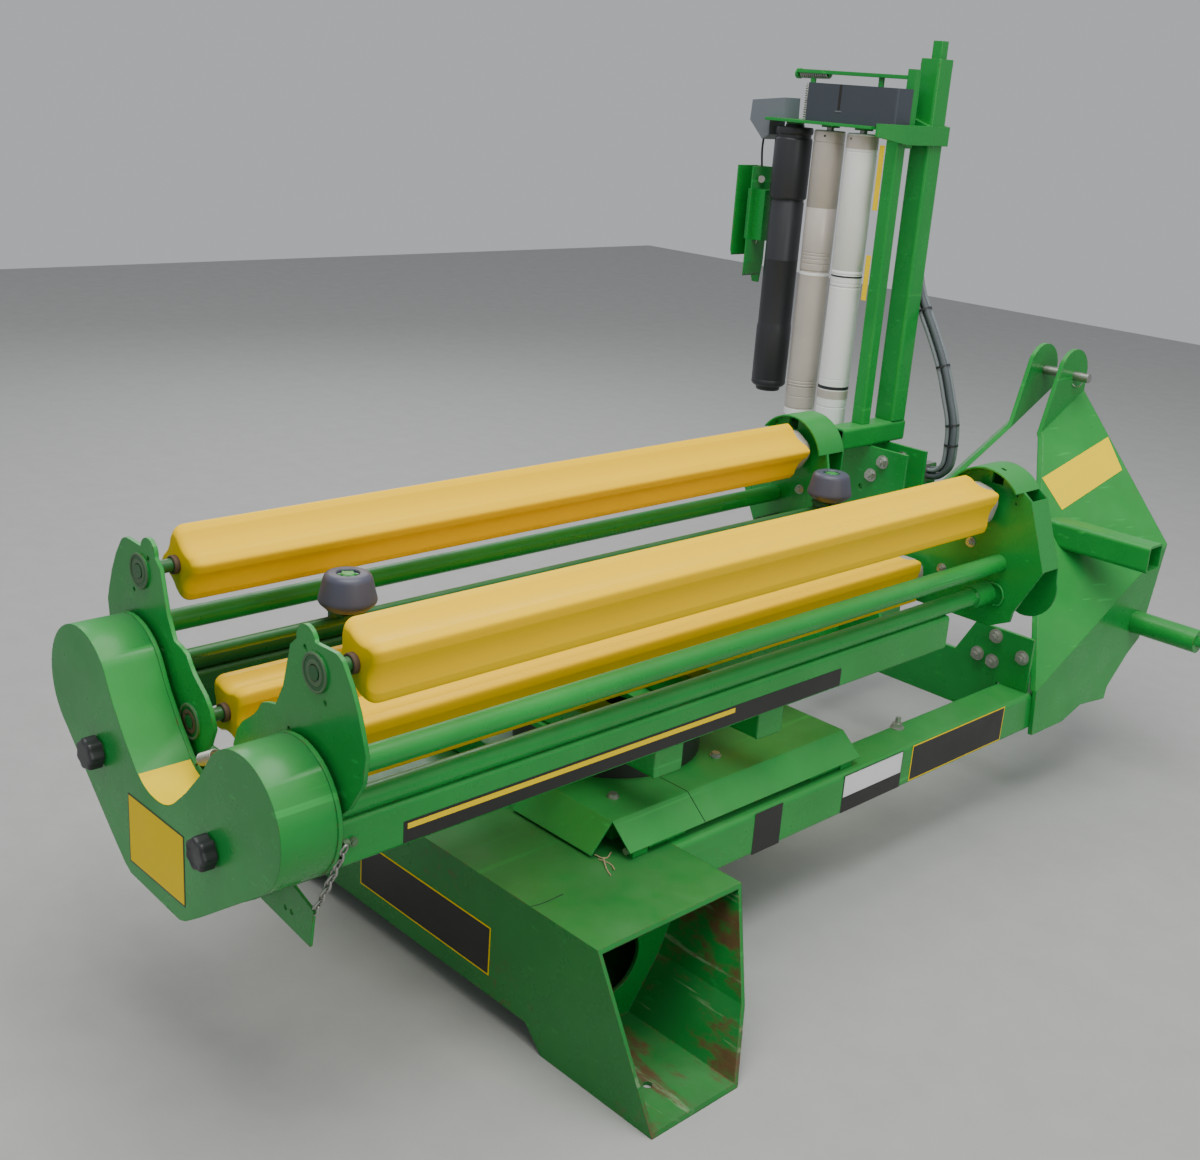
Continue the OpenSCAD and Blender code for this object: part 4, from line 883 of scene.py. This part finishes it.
def make_bolts():
    """Every group of bolts, on the body that it holds together."""
    sides, backward, upward = (-1, 1), (0, -1, 0), (0, 0, 1)
    cross_plate = ((232, 407), (187, 345), (232, 338), (313, 374))
    places = [(side * x, CROSS_Y - 10, z) for side in sides for x, z in cross_plate]
    bolt_group("cross_plate_bolts", "base", places, backward, 24, 11)
    bracket = ((-280, 725), (-314, 680), (-345, 640))
    bolt_group("bracket_bolts", "base", [(x, 1295, z) for x, z in bracket[:2]], backward, 24, 12)
    bolt_group("bracket_bolts_front", "base", [(x, 1385, z) for x, z in bracket], backward, 24, 12)
    y = PLATE_FRONT - 4
    x, z = LOWER
    places = []
    for side in sides:
        for quarter in range(4):
            angle = math.pi * (0.25 + 0.5 * quarter)
            across, up = BEARING_BOLT_RADIUS * math.cos(angle), BEARING_BOLT_RADIUS * math.sin(angle)
            places.append((side * (x + across), y, z + up))
    bolt_group("front_bearing_bolts", "table", places, backward, 13, 6, 3)
    places = [(side * x, y, z) for side in sides for x, z in ((260, 706), (193, 621))]
    bolt_group("front_plate_bolts", "table", places, backward, 16, 8, 5)
    bolt_group("cover_bolts", "tilt", [(212, -183, COVER_TOP), (206, 123, COVER_TOP)], upward, 16, 6, 0)
    bolt_group("beam_bolt", "base", [(270, 696, BEAM_TOP)], upward, 22, 10, 14)


# Sizes and places in millimetres, with the shares and counts that go with them

FOOT_BACK = 507
BEAM_OUT = 352
RAIL_OUT = 341
GUARD_BACK = 1030
PLATE_BACK = 910
PLATE_FRONT = 915
PANEL_NORMAL = (0.7269, -0.308, 0.6138)
PANEL_REACH = 91.9
ROLLER_WIDTH = 104
ROLLER_REAR = -845
ROLLER_FRONT = 870
ROLLER_ROUND = 24
ROLLER_END_SHARE = 0.72
ROLLER_HOLLOW = 6.5
ROLLER_CREASE = 30
ROLLER_SQUARENESS = 14
SHAFT_REAR = 919
SHAFT_RADIUS = 12.5
BEARING_FACE = 916.6
BEARING_BOLT_RADIUS = 30
# The solids' flanges lie behind this y, with their rims between these two radii
FLANGE_FOOT = -913.5
FLANGE_SPAN = (30, 40)
FLANGE_RADIUS = 33
FOOT_TOP = 286
BEAM_TOP = 286
CROSS_END = 318
CROSS_TUBE_Y = 150
COVER_EDGE = (338, 304.3)
COVER_SEAM_Y = -45
DISC_WIDTH = 92
UPPER = (277.5, 810)
LOWER = (110, 583.5)
CONE_TOP = 798
CONE_HEIGHT = 70
FILM_Y = 1285
FILM_DIAMETER = 85
FILM_LOW = 792
FILM_TOP = 1585
FILM_SPINDLE = 1612
FILM_WHITE_X = 473
FILM_GREY_X = 585
FILM_BLACK_X = 709
# Grooves are height, depth and width; rings are radius and height
WHITE_GROOVES = [
    (848, 1.5, 3), (927, 0.7, 2), (1182, 2.2, 5), (1192, 1.0, 2), (1216, 1.6, 3), (1226, 0.6, 2), (1538, 1.2, 3)]
GREY_GROOVES = [
    (822, 1.2, 2), (856, 0.8, 2), (884, 1.6, 3), (892, 0.8, 2), (901, 0.8, 2), (1210, 1.8, 4), (1230, 1.0, 3),
    (1242, 0.8, 2), (1252, 0.8, 2), (1260, 0.8, 2), (1381, 0.6, 2), (1554, 1.4, 3)]
BLACK_RINGS = [
    (0, 848), (33, 848), (35, 851), (35, 861), (43, 861), (47, 865), (49.5, 868), (49.5, 879), (48.5, 881),
    (49.5, 883), (49.5, 1032), (48, 1040), (47.5, 1048), (47.5, 1222), (47.9, 1223), (47.9, 1226),
    (47.5, 1227), (47.5, 1383), (46, 1385), (46, 1391), (51, 1394), (52.5, 1398), (52.5, 1552),
    (51, 1556), (48, 1558), (48, 1566), (51, 1568), (52.5, 1571), (52.5, 1580), (50, 1586), (0, 1586)]
CROSS_Y = 1160
COVER_TOP = 349.2
GEAR_FRONT = 1240
COLUMN_BACK = 1265
KNOB_LOBES = 7
GUARD_DEPTH = 107
NOTCH_LINE = [
    (-79, 527.5), (-72, 521.5), (-62.3, 515.2), (-50, 510.2), (-37.7, 506.8), (-22, 505.2), (-7.8, 505.1),
    (5, 507), (17.6, 510.6), (29, 516), (40.4, 523.3), (60, 540.5)]
HOSE_Y = 1467.8
HOSE_ROUTE = [
    (-375, 1330), (-374, 1250), (-358, 1185), (-327, 1129), (-284, 1060), (-243, 985), (-211, 905), (-186, 830),
    (-181, 775), (-181, 733), (-185, 714), (-196, 698), (-212, 687), (-231, 683), (-237, 683)]
CHAIN_LINKS = 10
CHAIN_START = (361, -917, 546)
CHAIN_END = (290, -920, 407)
CHAIN_SAG = 3
WELDS = (
    ([(368, 908, 599), (360, 908, 618), (341, 908, 626), (322, 908, 618), (314, 908, 599)], 3.0, "table"),
    ([(368, 908, 599), (360, 908, 580), (345, 908, 573)], 3.0, "table"),
    ([(362, -904, 677), (356, -904, 692), (341, -904, 698), (326, -904, 692), (320, -904, 677)], 2.5, "table"),
)

MATERIALS = make_materials()
make_camera()
make_studio()
finish_nodes()
smooth_copies()
make_plates()
for roller, spot, angle in (("roller_upper_right", UPPER, 14), ("roller_upper_left", (-UPPER[0], UPPER[1]), 34),
                            ("roller_lower_right", LOWER, 0), ("roller_lower_left", (-LOWER[0], LOWER[1]), 0)):
    make_roller(roller, spot, angle)
make_cone("cone_rear", -110, -592)
make_cone("cone_front", -110, 836)
make_film_rollers()
make_bearings()
make_knob("knob_right", 158, 492)
make_knob("knob_left", -224, 514)
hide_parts("guard_knobs")
make_hoses()
make_chain()
make_dispenser_details()
make_guard_details()
make_seams()
make_welds()
make_bolts()
